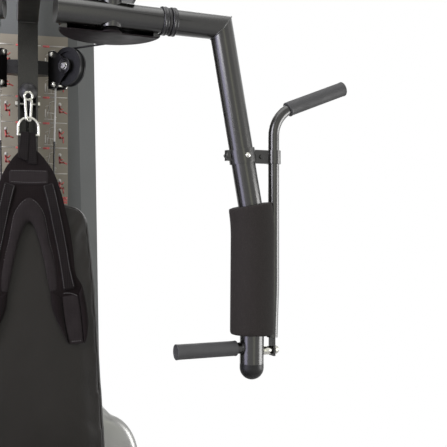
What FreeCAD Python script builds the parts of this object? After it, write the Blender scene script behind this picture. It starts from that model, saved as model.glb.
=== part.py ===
import FreeCAD, Part
import math
import os

# Multi station home gym. Millimetres, +Z up, the user faces -Y and sits on the centre plane X = 0.
# The origin is on the floor under the middle of the base.

Vector = FreeCAD.Vector
UP = Vector(0, 0, 1)
SIDE = Vector(1, 0, 0)
BACK = Vector(0, 1, 0)

# Clearances and standard parts
FACE_GAP = 0.3
RUNNING_FIT = 0.1
SLIDE_GAP = 0.6
CABLE_DIAMETER = 5.0
BOLT_RADIUS = 5.0
BOLT_HEAD_RADIUS = 8.5
BOLT_HEAD_HEIGHT = 6.0
BOLT_HEAD_THIN = 3.0
BOLT_HEAD_LIP = 3.5
PLATE_THICKNESS = 5.0
TUBE_WALL = 3.0

# Base
BASE_LENGTH = 1300.0
BEAM_WIDTH = 70.0
BEAM_HEIGHT = 50.0
STABILISER_DEPTH = 60.0
FRONT_STABILISER_LENGTH = 520.0
REAR_STABILISER_LENGTH = 760.0
FOOT_HEIGHT = 12.0
FOOT_RADIUS = 24.0
FOOT_TOP_RADIUS = 20.0
END_CAP_LIP = 6.0
END_CAP_PLUG = 25.0

# Uprights and boom
POST_WIDTH = 50.0
POST_DEPTH = 75.0
POST_FRONT_Y = 150.0
POST_TOP_Z = 2040.0
REAR_UPRIGHT_SIZE = 50.0
BOOM_HEIGHT = 75.0
BOOM_FRONT_Y = -380.0
BOOM_NOSE_ROOM = 10.0
BOOM_SLOT_SIDE_ROOM = 3.0
BOOM_SLOT_END_ROOM = 5.0
FOOT_PLATE_SIZE = 110.0
SLOT_WIDTH = 40.0
SLOT_BOTTOM_Z = 1335.0
SLOT_TOP_Z = 1562.0

# Pulleys
PULLEY_RADIUS = 50.0
PULLEY_WIDTH = 22.0
PULLEY_GROOVE = 6.0
SMALL_PULLEY_RADIUS = 33.0
SMALL_PULLEY_WIDTH = 16.0
PULLEY_SIDE_GAP = 1.0
PULLEY_HUB_WALL = 9.0
PULLEY_RIM = 12.0
PULLEY_RECESS = 3.5

ARM_PULLEY_X = 104.0
ARM_PULLEY_Y = 160.0
ARM_PULLEY_Z = 1625.0
EQUALISER_Z = 300.0
ARM_CHEEK_REACH = 54.0
ARM_CHEEK_LOW = 54.0
ARM_CHEEK_HIGH = 44.0
ARM_CHEEK_NOSE = 16.0
ARM_CHEEK_TOP_REACH = 38.0
ARM_CHEEK_FOOT_REACH = 30.0
ARM_LUG_HALF = 18.0
KEEPER_REACH = 44.0
KEEPER_RISE = 34.0
KEEPER_LOW_REACH = 36.0
KEEPER_DROP = 45.0
KEEPER_RADIUS = 4.0
CHEEK_DROP = 18.0

# Arm carrier and cams
PIVOT_X = 182.0
PIVOT_REACH = 256.0
CARRIER_SIZE = 50.0
CARRIER_BOTTOM_Z = 1732.0
CARRIER_OVERHANG = 50.0
GUSSET_SET_BACK = 9.0
SPINDLE_RADIUS = 12.0
SPINDLE_BUSH_RADIUS = 18.0
SPINDLE_HEAD_RADIUS = 19.0
SPINDLE_HEAD_HEIGHT = 10.0
SPINDLE_NUT_HEIGHT = 8.0
HUB_RADIUS = 24.0
ARM_SWEEP_DEG = 9.0
SLEEVE_AXIS_Z = 1695.0
CAM_RADIUS = 119.0
CAM_RIM = 18.0
CAM_WEB = 5.0
CAM_RIM_WIDTH = 16.0
CAM_GROOVE = 5.0
CAM_ANCHOR_DEG = 10.0
SLEEVE_INNER_REACH = 129.0
SLEEVE_OUTER_REACH = 119.0

# Arms
ARM_TUBE_RADIUS = 30.0
ARM_WALL = 3.0
ARM_CORNER_REACH = 276.0
ARM_KNEE_Z = 1222.0
ARM_KNEE_RADIUS = 420.0
ARM_END_Z = 868.0
COLLAR_RING_RADIUS = 34.0
COLLAR_RING_LENGTH = 13.0
COLLAR_BUSH_LENGTH = 10.0
COLLAR_BUSH_RADIUS = 32.0
PAD_RADIUS = 55.0
PAD_TOP_Z = 1260.0
PAD_BOTTOM_Z = 940.0
LOWER_GRIP_Z = 908.0
LOWER_GRIP_LENGTH = 158.0
LOWER_STUB_LENGTH = 14.0
GRIP_RADIUS = 18.5
HANDLE_TUBE_RADIUS = 14.0
HANDLE_REACH = 421.5
HANDLE_OFF_KNEE = 58.5
HANDLE_OFF_FOOT = 61.5
HANDLE_FOOT_SET_IN = 4.5
HANDLE_KINK_Z = 1060.0
HANDLE_FOOT_Z = 930.0
HANDLE_BEND_Z = 1491.0
HANDLE_BEND_RADIUS = 80.0
HANDLE_TIP_REACH = 626.0
HANDLE_RISE_DEG = 21.3
HANDLE_KINK_RADIUS = 300.0
HANDLE_BOLT_Z = 898.0
GRIP_END_WALL = 5.0
CAP_RIM_HEIGHT = 10.0
STRAP_Z = 1366.0
STRAP_HEIGHT = 34.0
STRAP_WALL = 4.0
STRAP_EAR = 14.0
STRAP_BOLT_RADIUS = 6.0
STRAP_BOLT_HEIGHT = 4.2
STRAP_BOLT_REACH = 9.8

# Weight stack
STACK_Y = 385.0
PLATE_COUNT = 15
PLATE_WIDTH = 290.0
PLATE_DEPTH = 105.0
PLATE_HEIGHT = 25.0
TOP_PLATE_HEIGHT = 32.0
STEM_NECK = 40.0
PIN_NECK = 6.0
PIN_KNOB_LENGTH = 26.0
PIN_KNOB_RADIUS = 12.0
ROD_SPACING = 200.0
ROD_RADIUS = 10.0
STACK_BASE_Z = 112.0
STACK_BASE_LIP = 10.0
BUMPER_RADIUS = 22.0
STEM_RADIUS = 11.0
STEM_BORE_RADIUS = 4.0
STEM_COLLAR_RADIUS = 15.0
LIFTED_PLATE_COUNT = 6
PIN_RADIUS = 4.5

# Shroud and lower housing
SHROUD_FRONT_Y = 270.0
SHROUD_REAR_Y = 520.0
SHROUD_BEVEL_DEPTH = 44.0
SHROUD_TOP_GAP = 70.0
SHROUD_BOTTOM_Z = 706.0
SHROUD_FLAT_TOP = 127.0
SHROUD_FLAT_BOTTOM = 158.0
SHROUD_HALF_TOP = 179.0
SHROUD_HALF_BOTTOM = 200.0
SHROUD_WALL = 4.0
CHART_HALF_WIDTH = 108.0
CHART_BOTTOM_Z = 1255.0
CHART_TOP_Z = 1728.0
CHART_THICKNESS = 1.0
HOUSING_FRONT_Y = 265.0
HOUSING_HALF_WIDTH = 305.0
HOUSING_SHOULDER = 150.0

# Backrest and seat
BACKREST_FACE_Y = -12.0
PAD_THICKNESS = 55.0
BACKREST_TOP_Z = 1262.0
BACKREST_TOP_HALF = 137.0
BACKREST_MID_Z = 1057.0
BACKREST_MID_HALF = 158.0
BACKREST_BOTTOM_Z = 560.0
BACKREST_BOTTOM_HALF = 190.0
BACKREST_CORNER_RADIUS = 56.0
BRACKET_Z = (700.0, 1090.0)
SEAT_TOP_Z = 505.0
SEAT_REAR_Y = -35.0
SEAT_FRONT_Y = -440.0
SEAT_HALF_WIDTH = 165.0
SEAT_FRONT_HALF = 119.0
SEAT_PLATE_HALF = 99.0
SEAT_BEAM_Z = 300.0
SEAT_BEAM_FRONT_Y = -498.0
SEAT_TUBE_SIZE = 44.0
SEAT_TUBE_Y = -225.0
SEAT_TAPER_START = 180.0
SEAT_CORNER_RADIUS = 45.0
SEAT_SLEEVE_DROP = 110.0
SEAT_SLEEVE_RISE = 40.0
SEAT_SCREW_RADIUS = 5.0
SEAT_KNOB_RADIUS = 22.0
SEAT_KNOB_LOBES = 5
SEAT_KNOB_STALK_RADIUS = 8.0
SEAT_KNOB_DIP_REACH = 25.0
SEAT_KNOB_DIP_RADIUS = 8.0

# Leg developer
LEG_PIVOT_Y = -530.0
LEG_PIVOT_Z = 325.0
LEG_LEVER_LENGTH = 205.0
ROLLER_RADIUS = 45.0
ROLLER_LENGTH = 160.0
ROLLER_BAR_RADIUS = 12.5
ROLLER_INNER_X = 55.0
LEG_LEVER_WIDTH = 40.0
KNEE_BAR_Y = -505.0
KNEE_BAR_Z = 425.0
KNEE_EAR = 20.0

# Lat station
LAT_HOOK_DROP = 135.0
LAT_BAR_HALF = 500.0
LAT_BAR_DROP_DEG = 25.0
LAT_BAR_BEND_X = 330.0
LAT_BAR_RADIUS = 14.0
LAT_GRIP_LENGTH = 140.0
LAT_BEND_RADIUS = 90.0
LAT_LINK_LENGTH = 60.0
LAT_LINK_HEIGHT = 28.0
LAT_SWIVEL_BITE = 18.0
LAT_LINK_RADIUS = 12.0
LAT_STALK_RADIUS = 5.0
LAT_HEAD_RADIUS = 8.0
LAT_HEAD_HEIGHT = 5.0

# Abdominal harness
BALL_RADIUS = 22.5
BALL_FLAT = 1.0
BALL_Z = 1550.0
BALL_Y = 126.0
HOOK_WIRE = 3.2
HOOK_LENGTH = 61.0
HOOK_EYE_DROP = 15.0
HOOK_EYE_RADIUS = 9.5
HOOK_TOP_HALF = 14.0
HOOK_TIP_HALF = 9.0
HOOK_BEND = 5.0
HOOK_TURN_DEG = 55.0
D_RING_WIRE = 3.0
D_RING_HALF = 25.0
D_RING_BEND = 23.75
HARNESS_THICKNESS = 22.0
HARNESS_TOP_Z = 1434.0
HARNESS_BOTTOM_Z = 930.0
HARNESS_CREASE_RISE = 2.0
HARNESS_EDGE = (
    (20, HARNESS_TOP_Z), (18, 1388), (60, 1332), (80, 1252), (104, 1100), (134, 1018), (138, 969),
    (130, HARNESS_BOTTOM_Z), (92, HARNESS_BOTTOM_Z), (53, 1010), (38, 1116), (18, 1195), (0, 1222),
)

# Derived places
CABLE_RADIUS = CABLE_DIAMETER / 2
GROOVE_RADIUS = PULLEY_RADIUS - PULLEY_GROOVE + CABLE_RADIUS + FACE_GAP
BEAM_TOP_Z = FOOT_HEIGHT + BEAM_HEIGHT
POST_REAR_Y = POST_FRONT_Y + POST_DEPTH
PIVOT_Y = POST_FRONT_Y - PIVOT_REACH
BOOM_TOP_Z = POST_TOP_Z + BOOM_HEIGHT
REAR_UPRIGHT_REAR_Y = BASE_LENGTH / 2 - STABILISER_DEPTH
REAR_UPRIGHT_FRONT_Y = REAR_UPRIGHT_REAR_Y - REAR_UPRIGHT_SIZE
LAT_CABLE_Z = POST_TOP_Z + BOOM_HEIGHT / 2
LAT_HOOK_Z = POST_TOP_Z - LAT_HOOK_DROP
SHROUD_TOP_Z = POST_TOP_Z - SHROUD_TOP_GAP
CARRIER_GUSSET = (POST_TOP_Z - CARRIER_BOTTOM_Z - CARRIER_SIZE) / 2 - GUSSET_SET_BACK
LAT_PULLEY_Z = LAT_CABLE_Z - GROOVE_RADIUS
LAT_PULLEY_Y = BOOM_FRONT_Y + TUBE_WALL + PULLEY_RADIUS + BOOM_NOSE_ROOM
LAT_LINE_Y = LAT_PULLEY_Y - GROOVE_RADIUS
REAR_PULLEY_Y = STACK_Y - GROOVE_RADIUS
ARM_KNEE_REACH = HANDLE_REACH - HANDLE_OFF_KNEE
ARM_FOOT_REACH = HANDLE_REACH - HANDLE_OFF_FOOT
HANDLE_FOOT_REACH = HANDLE_REACH - HANDLE_FOOT_SET_IN
SLEEVE_BORE_RADIUS = ARM_TUBE_RADIUS - ARM_WALL
ARM_BORE_RADIUS = ARM_TUBE_RADIUS - ARM_WALL
ARM_SHAFT_RADIUS = SLEEVE_BORE_RADIUS - RUNNING_FIT
COLLAR_START = SLEEVE_OUTER_REACH + FACE_GAP
COLLAR_LENGTH = 2 * COLLAR_RING_LENGTH + COLLAR_BUSH_LENGTH
CAM_BOTTOM_Z = SLEEVE_AXIS_Z - ARM_TUBE_RADIUS - CAM_RIM / 2
BACKREST_REAR_Y = BACKREST_FACE_Y + PAD_THICKNESS
SMALL_GROOVE_RADIUS = SMALL_PULLEY_RADIUS - PULLEY_GROOVE + CABLE_RADIUS + FACE_GAP
AB_PULLEY_Y = POST_FRONT_Y + TUBE_WALL + SMALL_PULLEY_RADIUS + SLIDE_GAP
AB_PULLEY_Z = SLOT_TOP_Z - SMALL_PULLEY_RADIUS - SLIDE_GAP
EQUALISER_Y = POST_REAR_Y + BOLT_HEAD_THIN + PLATE_THICKNESS + PULLEY_SIDE_GAP + PULLEY_WIDTH / 2
CAM_CABLE_RADIUS = CAM_RADIUS - CAM_GROOVE + CABLE_RADIUS + FACE_GAP

written = []


def save(name, shape):
    """Write one node, after checking that every solid in it is sound."""
    if not shape.isValid() or not shape.Solids:
        raise ValueError(name + " is not a valid solid")
    shape.exportStep("parts/" + name + ".step")
    written.append(name)


def block(x0, x1, y0, y1, z0, z1):
    return Part.makeBox(x1 - x0, y1 - y0, z1 - z0, Vector(x0, y0, z0))


def rod(start, end, radius):
    span = end.sub(start)
    return Part.makeCylinder(radius, span.Length, start, span)


def hollow_rod(start, end, outer, inner):
    return rod(start, end, outer).cut(rod(start, end, inner))


def upright_tube(width, depth, x, y, z0, z1, wall=TUBE_WALL):
    """A square tube along Z, centred on x and y."""
    outer = block(x - width / 2, x + width / 2, y - depth / 2, y + depth / 2, z0, z1)
    w = width / 2 - wall
    d = depth / 2 - wall
    return outer.cut(block(x - w, x + w, y - d, y + d, z0, z1))


def long_tube(width, height, y0, y1, z0, wall=TUBE_WALL):
    """A rectangular tube along Y on the centre plane, standing on z0."""
    outer = block(-width / 2, width / 2, y0, y1, z0, z0 + height)
    w = width / 2 - wall
    return outer.cut(block(-w, w, y0, y1, z0 + wall, z0 + height - wall))


def cross_tube(length, depth, height, y, z0, wall=TUBE_WALL):
    """A rectangular tube along X, centred on y, standing on z0."""
    outer = block(-length / 2, length / 2, y - depth / 2, y + depth / 2, z0, z0 + height)
    d = depth / 2 - wall
    return outer.cut(block(-length / 2, length / 2, y - d, y + d, z0 + wall, z0 + height - wall))


def joined(shapes):
    whole = shapes[0]
    for shape in shapes[1:]:
        whole = whole.fuse(shape)
    return whole.removeSplitter()


def group(shapes):
    return Part.makeCompound(shapes)


def mirrored(shape):
    return shape.mirror(Vector(0, 0, 0), SIDE)


def both_sides(shapes):
    return group(shapes + [mirrored(s) for s in shapes])


def bent_path(points, radii):
    """Straight runs through the points, with a tangent arc of the given radius at each inner point."""
    edges = []
    start = points[0]
    for i in range(1, len(points) - 1):
        corner = points[i]
        a = corner.sub(points[i - 1]).normalize()
        b = points[i + 1].sub(corner).normalize()
        turn = a.getAngle(b)
        reach = radii[i - 1] * math.tan(turn / 2)
        enter = corner - a * reach
        leave = corner + b * reach
        inward = (b - a).normalize()
        middle = corner + inward * (radii[i - 1] / math.cos(turn / 2) - radii[i - 1])
        if enter.sub(start).Length > 1e-4:
            edges.append(Part.LineSegment(start, enter).toShape())
        edges.append(Part.Arc(enter, middle, leave).toShape())
        start = leave
    edges.append(Part.LineSegment(start, points[-1]).toShape())
    return Part.Wire(edges)


def swept(path, radius, bore=0.0):
    """A round rod or tube along a path."""
    first = path.Edges[0]
    at = first.valueAt(first.FirstParameter)
    along = first.tangentAt(first.FirstParameter)

    def sweep(r):
        ring = Part.Wire(Part.makeCircle(r, at, along))
        return path.makePipeShell([ring], True, False)

    solid = sweep(radius)
    if bore:
        solid = solid.cut(sweep(bore))
    return solid


def prism(points, thickness):
    """Extrude a closed outline by a vector."""
    return Part.Face(Part.makePolygon(points + [points[0]])).extrude(thickness)


def hex_head(centre, direction, radius=BOLT_HEAD_RADIUS, height=BOLT_HEAD_HEIGHT):
    """A hexagonal head or nut that starts at centre and grows along direction."""
    turn = FreeCAD.Rotation(UP, direction)
    points = []
    for k in range(6):
        a = math.radians(60 * k)
        points.append(turn.multVec(Vector(radius * math.cos(a), radius * math.sin(a), 0)) + centre)
    return prism(points, Vector(direction).normalize() * height)


def through_bolt(start, end, radius=BOLT_RADIUS, head=BOLT_HEAD_RADIUS):
    """A bolt whose shank runs from start to end, with a head outside start and a nut outside end."""
    along = end.sub(start).normalize()
    return joined([
        rod(start, end, radius),
        hex_head(start, -along, head),
        hex_head(end, along, head),
    ])


def pulley(centre, axis, radius=PULLEY_RADIUS, width=PULLEY_WIDTH):
    """A grooved wheel with recessed faces and a running bore for its bolt."""
    half = width / 2
    wheel = Part.makeCylinder(radius, width, Vector(0, 0, -half))
    wheel = wheel.cut(Part.makeTorus(radius, PULLEY_GROOVE))
    hub = BOLT_RADIUS + PULLEY_HUB_WALL
    rim = radius - PULLEY_RIM
    depth = PULLEY_RECESS
    for z in (-half, half - depth):
        recess = Part.makeCylinder(rim, depth, Vector(0, 0, z))
        wheel = wheel.cut(recess.cut(Part.makeCylinder(hub, depth, Vector(0, 0, z))))
    wheel = wheel.cut(Part.makeCylinder(BOLT_RADIUS + RUNNING_FIT, width, Vector(0, 0, -half)))
    wheel.Placement = FreeCAD.Placement(centre, FreeCAD.Rotation(UP, axis))
    return wheel


# ---------------------------------------------------------------------------
# Base: a long beam butted between two stabilisers, on rubber feet
# ---------------------------------------------------------------------------
def stabiliser_y(sign):
    return sign * (BASE_LENGTH - STABILISER_DEPTH) / 2


def base_beam():
    reach = BASE_LENGTH / 2 - STABILISER_DEPTH
    return long_tube(BEAM_WIDTH, BEAM_HEIGHT, -reach, reach, FOOT_HEIGHT)


def stabiliser(length, sign):
    return cross_tube(length, STABILISER_DEPTH, BEAM_HEIGHT, stabiliser_y(sign), FOOT_HEIGHT)


def stabiliser_end_caps():
    """Plastic plugs pressed into the open ends of both stabilisers."""
    caps = []
    d = STABILISER_DEPTH / 2
    for length, sign in ((FRONT_STABILISER_LENGTH, -1), (REAR_STABILISER_LENGTH, 1)):
        y = stabiliser_y(sign)
        x = length / 2
        flange = block(x, x + END_CAP_LIP, y - d, y + d, FOOT_HEIGHT, BEAM_TOP_Z)
        inset = TUBE_WALL
        plug = block(x - END_CAP_PLUG, x, y - d + inset, y + d - inset,
                     FOOT_HEIGHT + inset, BEAM_TOP_Z - inset)
        caps.append(joined([flange, plug]))
    return caps + [mirrored(c) for c in caps]


def rubber_feet():
    feet = []
    for length, sign in ((FRONT_STABILISER_LENGTH, -1), (REAR_STABILISER_LENGTH, 1)):
        x = length / 2 - FOOT_RADIUS - END_CAP_PLUG
        base = Vector(x, stabiliser_y(sign), 0)
        feet.append(Part.makeCone(FOOT_RADIUS, FOOT_TOP_RADIUS, FOOT_HEIGHT, base, UP))
    return feet + [mirrored(f) for f in feet]


# ---------------------------------------------------------------------------
# Uprights and boom
# ---------------------------------------------------------------------------
def post_centre_y():
    return POST_FRONT_Y + POST_DEPTH / 2


def front_post():
    """The main upright, with a foot plate and a window for the abdominal pulley and its cable."""
    z0 = BEAM_TOP_Z + PLATE_THICKNESS
    tube = upright_tube(POST_WIDTH, POST_DEPTH, 0, post_centre_y(), z0, POST_TOP_Z)
    half = FOOT_PLATE_SIZE / 2
    plate = block(-half, half, post_centre_y() - half, post_centre_y() + half, BEAM_TOP_Z, z0)
    window = block(-SLOT_WIDTH / 2, SLOT_WIDTH / 2, POST_FRONT_Y - 1, POST_FRONT_Y + TUBE_WALL + 1,
                   SLOT_BOTTOM_Z, SLOT_TOP_Z)
    lat_cable_way = CABLE_DIAMETER * 2
    top = block(-lat_cable_way, lat_cable_way, POST_FRONT_Y, POST_REAR_Y, POST_TOP_Z - 1, POST_TOP_Z)
    body = joined([tube, plate]).cut(window).cut(top)
    wheel = Vector(0, AB_PULLEY_Y, AB_PULLEY_Z)
    bolt_way = rod(wheel - SIDE * POST_WIDTH, wheel + SIDE * POST_WIDTH, BOLT_RADIUS)
    return body.cut(bolt_way)


def rear_upright():
    z0 = BEAM_TOP_Z + PLATE_THICKNESS
    y = (REAR_UPRIGHT_FRONT_Y + REAR_UPRIGHT_REAR_Y) / 2
    tube = upright_tube(REAR_UPRIGHT_SIZE, REAR_UPRIGHT_SIZE, 0, y, z0, POST_TOP_Z)
    half = FOOT_PLATE_SIZE / 2
    plate = block(-half, half, REAR_UPRIGHT_FRONT_Y - half / 2, REAR_UPRIGHT_REAR_Y, BEAM_TOP_Z, z0)
    return joined([tube, plate])


def top_boom():
    """The overhead beam, slotted below for the two lat pulleys that run inside it."""
    boom = long_tube(POST_WIDTH, BOOM_HEIGHT, BOOM_FRONT_Y, REAR_UPRIGHT_REAR_Y, POST_TOP_Z)
    slot = PULLEY_WIDTH / 2 + BOOM_SLOT_SIDE_ROOM
    reach = PULLEY_RADIUS + BOOM_SLOT_END_ROOM
    for y in (LAT_PULLEY_Y, REAR_PULLEY_Y):
        boom = boom.cut(block(-slot, slot, y - reach, y + reach, POST_TOP_Z - 1, POST_TOP_Z + TUBE_WALL + 1))
    return boom


def boom_end_caps():
    caps = []
    w = POST_WIDTH / 2
    t = TUBE_WALL
    for y0, y1, p0, p1 in (
        (BOOM_FRONT_Y - END_CAP_LIP, BOOM_FRONT_Y, BOOM_FRONT_Y, BOOM_FRONT_Y + t),
        (REAR_UPRIGHT_REAR_Y, REAR_UPRIGHT_REAR_Y + END_CAP_LIP, REAR_UPRIGHT_REAR_Y - END_CAP_PLUG,
         REAR_UPRIGHT_REAR_Y),
    ):
        lip = block(-w, w, y0, y1, POST_TOP_Z, BOOM_TOP_Z)
        plug = block(-w + t, w - t, p0, p1, POST_TOP_Z + t, BOOM_TOP_Z - t)
        caps.append(joined([lip, plug]))
    return caps


def lat_pulley_cheeks():
    """Welded cheek plates under the boom that carry the two lat pulley bolts."""
    cheeks = []
    gap = PULLEY_WIDTH / 2 + PULLEY_SIDE_GAP
    drop = LAT_PULLEY_Z - CHEEK_DROP
    for y in (LAT_PULLEY_Y, REAR_PULLEY_Y):
        cheek = block(gap, POST_WIDTH / 2, y - CHEEK_DROP, y + CHEEK_DROP, drop, POST_TOP_Z)
        cheeks.append(cheek.cut(lat_axle(y, BOLT_RADIUS)))
    return cheeks + [mirrored(c) for c in cheeks]


def lat_axle(y, radius):
    x = POST_WIDTH / 2
    return rod(Vector(-x, y, LAT_PULLEY_Z), Vector(x, y, LAT_PULLEY_Z), radius)


def lat_pulley_bolts():
    x = POST_WIDTH / 2
    return [through_bolt(Vector(-x, y, LAT_PULLEY_Z), Vector(x, y, LAT_PULLEY_Z))
            for y in (LAT_PULLEY_Y, REAR_PULLEY_Y)]


# ---------------------------------------------------------------------------
# Arm carrier: a strut from the post to a crossbeam with the two vertical spindles
# ---------------------------------------------------------------------------
def arm_carrier():
    top = CARRIER_BOTTOM_Z + CARRIER_SIZE
    half = CARRIER_SIZE / 2
    length = 2 * (PIVOT_X + CARRIER_OVERHANG)
    cross = cross_tube(length, CARRIER_SIZE, CARRIER_SIZE, PIVOT_Y, CARRIER_BOTTOM_Z)
    strut = long_tube(POST_WIDTH, CARRIER_SIZE, PIVOT_Y + half, POST_FRONT_Y, CARRIER_BOTTOM_Z)
    brace = prism([
        Vector(-PLATE_THICKNESS / 2, POST_FRONT_Y, top),
        Vector(-PLATE_THICKNESS / 2, POST_FRONT_Y, top + CARRIER_GUSSET),
        Vector(-PLATE_THICKNESS / 2, PIVOT_Y + half, top),
    ], SIDE * PLATE_THICKNESS)
    body = joined([cross, strut, brace])
    for sign in (-1, 1):
        foot = Vector(sign * PIVOT_X, PIVOT_Y, CARRIER_BOTTOM_Z)
        bush = Part.makeCylinder(SPINDLE_BUSH_RADIUS, CARRIER_SIZE, foot)
        hole = Part.makeCylinder(SPINDLE_RADIUS, CARRIER_SIZE, foot)
        body = body.fuse(bush).cut(hole)
    return body


def carrier_end_caps():
    x = PIVOT_X + CARRIER_OVERHANG
    half = CARRIER_SIZE / 2
    t = TUBE_WALL
    top = CARRIER_BOTTOM_Z + CARRIER_SIZE
    lip = block(x, x + END_CAP_LIP, PIVOT_Y - half, PIVOT_Y + half, CARRIER_BOTTOM_Z, top)
    plug = block(x - END_CAP_PLUG, x, PIVOT_Y - half + t, PIVOT_Y + half - t, CARRIER_BOTTOM_Z + t, top - t)
    cap = joined([lip, plug])
    return [cap, mirrored(cap)]


def pivot_spindles():
    """Vertical bolts that hang the cam sleeves under the crossbeam."""
    top = CARRIER_BOTTOM_Z + CARRIER_SIZE
    bottom = sleeve_bottom_z() - FACE_GAP
    base = Vector(PIVOT_X, PIVOT_Y, bottom)
    shank = Part.makeCylinder(SPINDLE_RADIUS, top - bottom, base)
    head = hex_head(Vector(PIVOT_X, PIVOT_Y, top), UP, SPINDLE_HEAD_RADIUS, SPINDLE_HEAD_HEIGHT)
    nut = hex_head(base, -UP, SPINDLE_HEAD_RADIUS, SPINDLE_NUT_HEIGHT)
    return both_sides([joined([shank, head, nut])])


# ---------------------------------------------------------------------------
# Arms. Each piece is drawn as if its spindle stood at x = y = 0 and its arm pointed along +X,
# then set_on_spindle swings it to its rest angle on the right-hand spindle.
# ---------------------------------------------------------------------------
def set_on_spindle(shape):
    place = FreeCAD.Placement(Vector(PIVOT_X, PIVOT_Y, 0), FreeCAD.Rotation(UP, ARM_SWEEP_DEG))
    shape.Placement = place.multiply(shape.Placement)
    return shape


def half_disc(radius, height, z0):
    """A half cylinder behind the arm, centred on the spindle."""
    whole = Part.makeCylinder(radius, height, Vector(0, 0, z0))
    return whole.common(block(-2 * radius, 2 * radius, 0, 2 * radius, z0, z0 + height))


def sleeve_rod(u0, u1, radius):
    return rod(Vector(u0, 0, SLEEVE_AXIS_Z), Vector(u1, 0, SLEEVE_AXIS_Z), radius)


def cam_web_z():
    return CAM_BOTTOM_Z + CAM_RIM - CAM_WEB


def sleeve_bottom_z():
    return SLEEVE_AXIS_Z - ARM_TUBE_RADIUS


def shaft_inner_end():
    return HUB_RADIUS + ARM_WALL


def cam_sleeve():
    """The bearing tube for one arm, with its spindle hub and grooved half-moon cam welded on."""
    cam = half_disc(CAM_RADIUS, CAM_RIM, CAM_BOTTOM_Z)
    pocket = half_disc(CAM_RADIUS - CAM_RIM_WIDTH, CAM_RIM - CAM_WEB, CAM_BOTTOM_Z)
    groove = Part.makeTorus(CAM_RADIUS, CAM_GROOVE, Vector(0, 0, CAM_BOTTOM_Z + CAM_RIM / 2))
    hub_top = CARRIER_BOTTOM_Z - FACE_GAP
    hub_height = hub_top - sleeve_bottom_z()
    hub = Part.makeCylinder(HUB_RADIUS, hub_height, Vector(0, 0, sleeve_bottom_z()))
    tube = sleeve_rod(-SLEEVE_INNER_REACH, SLEEVE_OUTER_REACH, ARM_TUBE_RADIUS)
    body = joined([tube, cam.cut(pocket).cut(groove), hub])
    body = body.cut(sleeve_rod(shaft_inner_end() - FACE_GAP, SLEEVE_OUTER_REACH, SLEEVE_BORE_RADIUS))
    bore = Part.makeCylinder(SPINDLE_RADIUS + RUNNING_FIT, hub_height, Vector(0, 0, sleeve_bottom_z()))
    return body.cut(bore)


def collar_piece(index):
    """Ring, bush or ring, in order outward from the sleeve, all fast on the arm's shaft."""
    lengths = (COLLAR_RING_LENGTH, COLLAR_BUSH_LENGTH, COLLAR_RING_LENGTH)
    radii = (COLLAR_RING_RADIUS, COLLAR_BUSH_RADIUS, COLLAR_RING_RADIUS)
    start = COLLAR_START + sum(lengths[:index])
    end = start + lengths[index]
    return sleeve_rod(start, end, radii[index]).cut(sleeve_rod(start, end, ARM_SHAFT_RADIUS))


def arm_leg_points():
    return [Vector(ARM_CORNER_REACH, 0, SLEEVE_AXIS_Z), Vector(ARM_KNEE_REACH, 0, ARM_KNEE_Z),
            Vector(ARM_FOOT_REACH, 0, ARM_END_Z)]


def lower_grip_outer():
    return ARM_FOOT_REACH - ARM_TUBE_RADIUS - LOWER_STUB_LENGTH


def arm_tube():
    """The main arm: a shaft and stub on the sleeve axis, mitred to a long leg that bends to vertical."""
    corner, knee, foot = arm_leg_points()
    leg_along = knee.sub(corner).normalize()
    mitre = (SIDE + leg_along).normalize()
    over = 2 * ARM_TUBE_RADIUS
    size = 4 * ARM_TUBE_RADIUS
    leg = swept(bent_path([corner - leg_along * over, knee, foot], [ARM_KNEE_RADIUS]), ARM_TUBE_RADIUS)
    leg = leg.cut(half_space(corner, -mitre, size))
    stub_start = COLLAR_START + COLLAR_LENGTH
    stub = sleeve_rod(stub_start, ARM_CORNER_REACH + over, ARM_TUBE_RADIUS)
    stub = stub.cut(half_space(corner, mitre, size))
    shaft = sleeve_rod(shaft_inner_end(), stub_start, ARM_SHAFT_RADIUS)
    grip_core = rod(Vector(ARM_FOOT_REACH, 0, LOWER_GRIP_Z),
                    Vector(lower_grip_outer() - LOWER_GRIP_LENGTH + GRIP_END_WALL, 0, LOWER_GRIP_Z),
                    HANDLE_TUBE_RADIUS)
    spacer = rod(Vector(ARM_FOOT_REACH, 0, HANDLE_BOLT_Z), Vector(handle_tab_inner(), 0, HANDLE_BOLT_Z),
                 BOLT_HEAD_RADIUS)
    body = joined([leg, stub, shaft, grip_core, spacer])
    bore = swept(bent_path([corner + leg_along * over, knee, foot], [ARM_KNEE_RADIUS]), ARM_BORE_RADIUS)
    bolt_hole = rod(Vector(ARM_FOOT_REACH, 0, HANDLE_BOLT_Z), Vector(HANDLE_REACH, 0, HANDLE_BOLT_Z),
                    BOLT_RADIUS)
    return body.cut(bore).cut(bolt_hole)


def half_space(origin, normal, size):
    """A large block on the side of a plane that its normal points to."""
    side = Part.makeBox(2 * size, 2 * size, size, Vector(-size, -size, 0))
    side.Placement = FreeCAD.Placement(origin, FreeCAD.Rotation(UP, normal))
    return side


def arm_end_cap():
    """A domed plastic cap on the foot of the arm."""
    corner, knee, foot = arm_leg_points()
    down = foot.sub(knee).normalize()
    rim_end = foot + down * CAP_RIM_HEIGHT
    rim = rod(foot, rim_end, ARM_TUBE_RADIUS)
    dome = Part.makeSphere(ARM_TUBE_RADIUS, rim_end).common(half_space(rim_end, down, 2 * ARM_TUBE_RADIUS))
    plug = rod(rim_end, foot - down * END_CAP_PLUG, ARM_BORE_RADIUS)
    return joined([rim, dome, plug])


def leg_reach_at(z):
    """Reach of the straight upper leg's axis at a height."""
    share = (SLEEVE_AXIS_Z - z) / (SLEEVE_AXIS_Z - ARM_KNEE_Z)
    return ARM_CORNER_REACH + share * (ARM_KNEE_REACH - ARM_CORNER_REACH)


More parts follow.
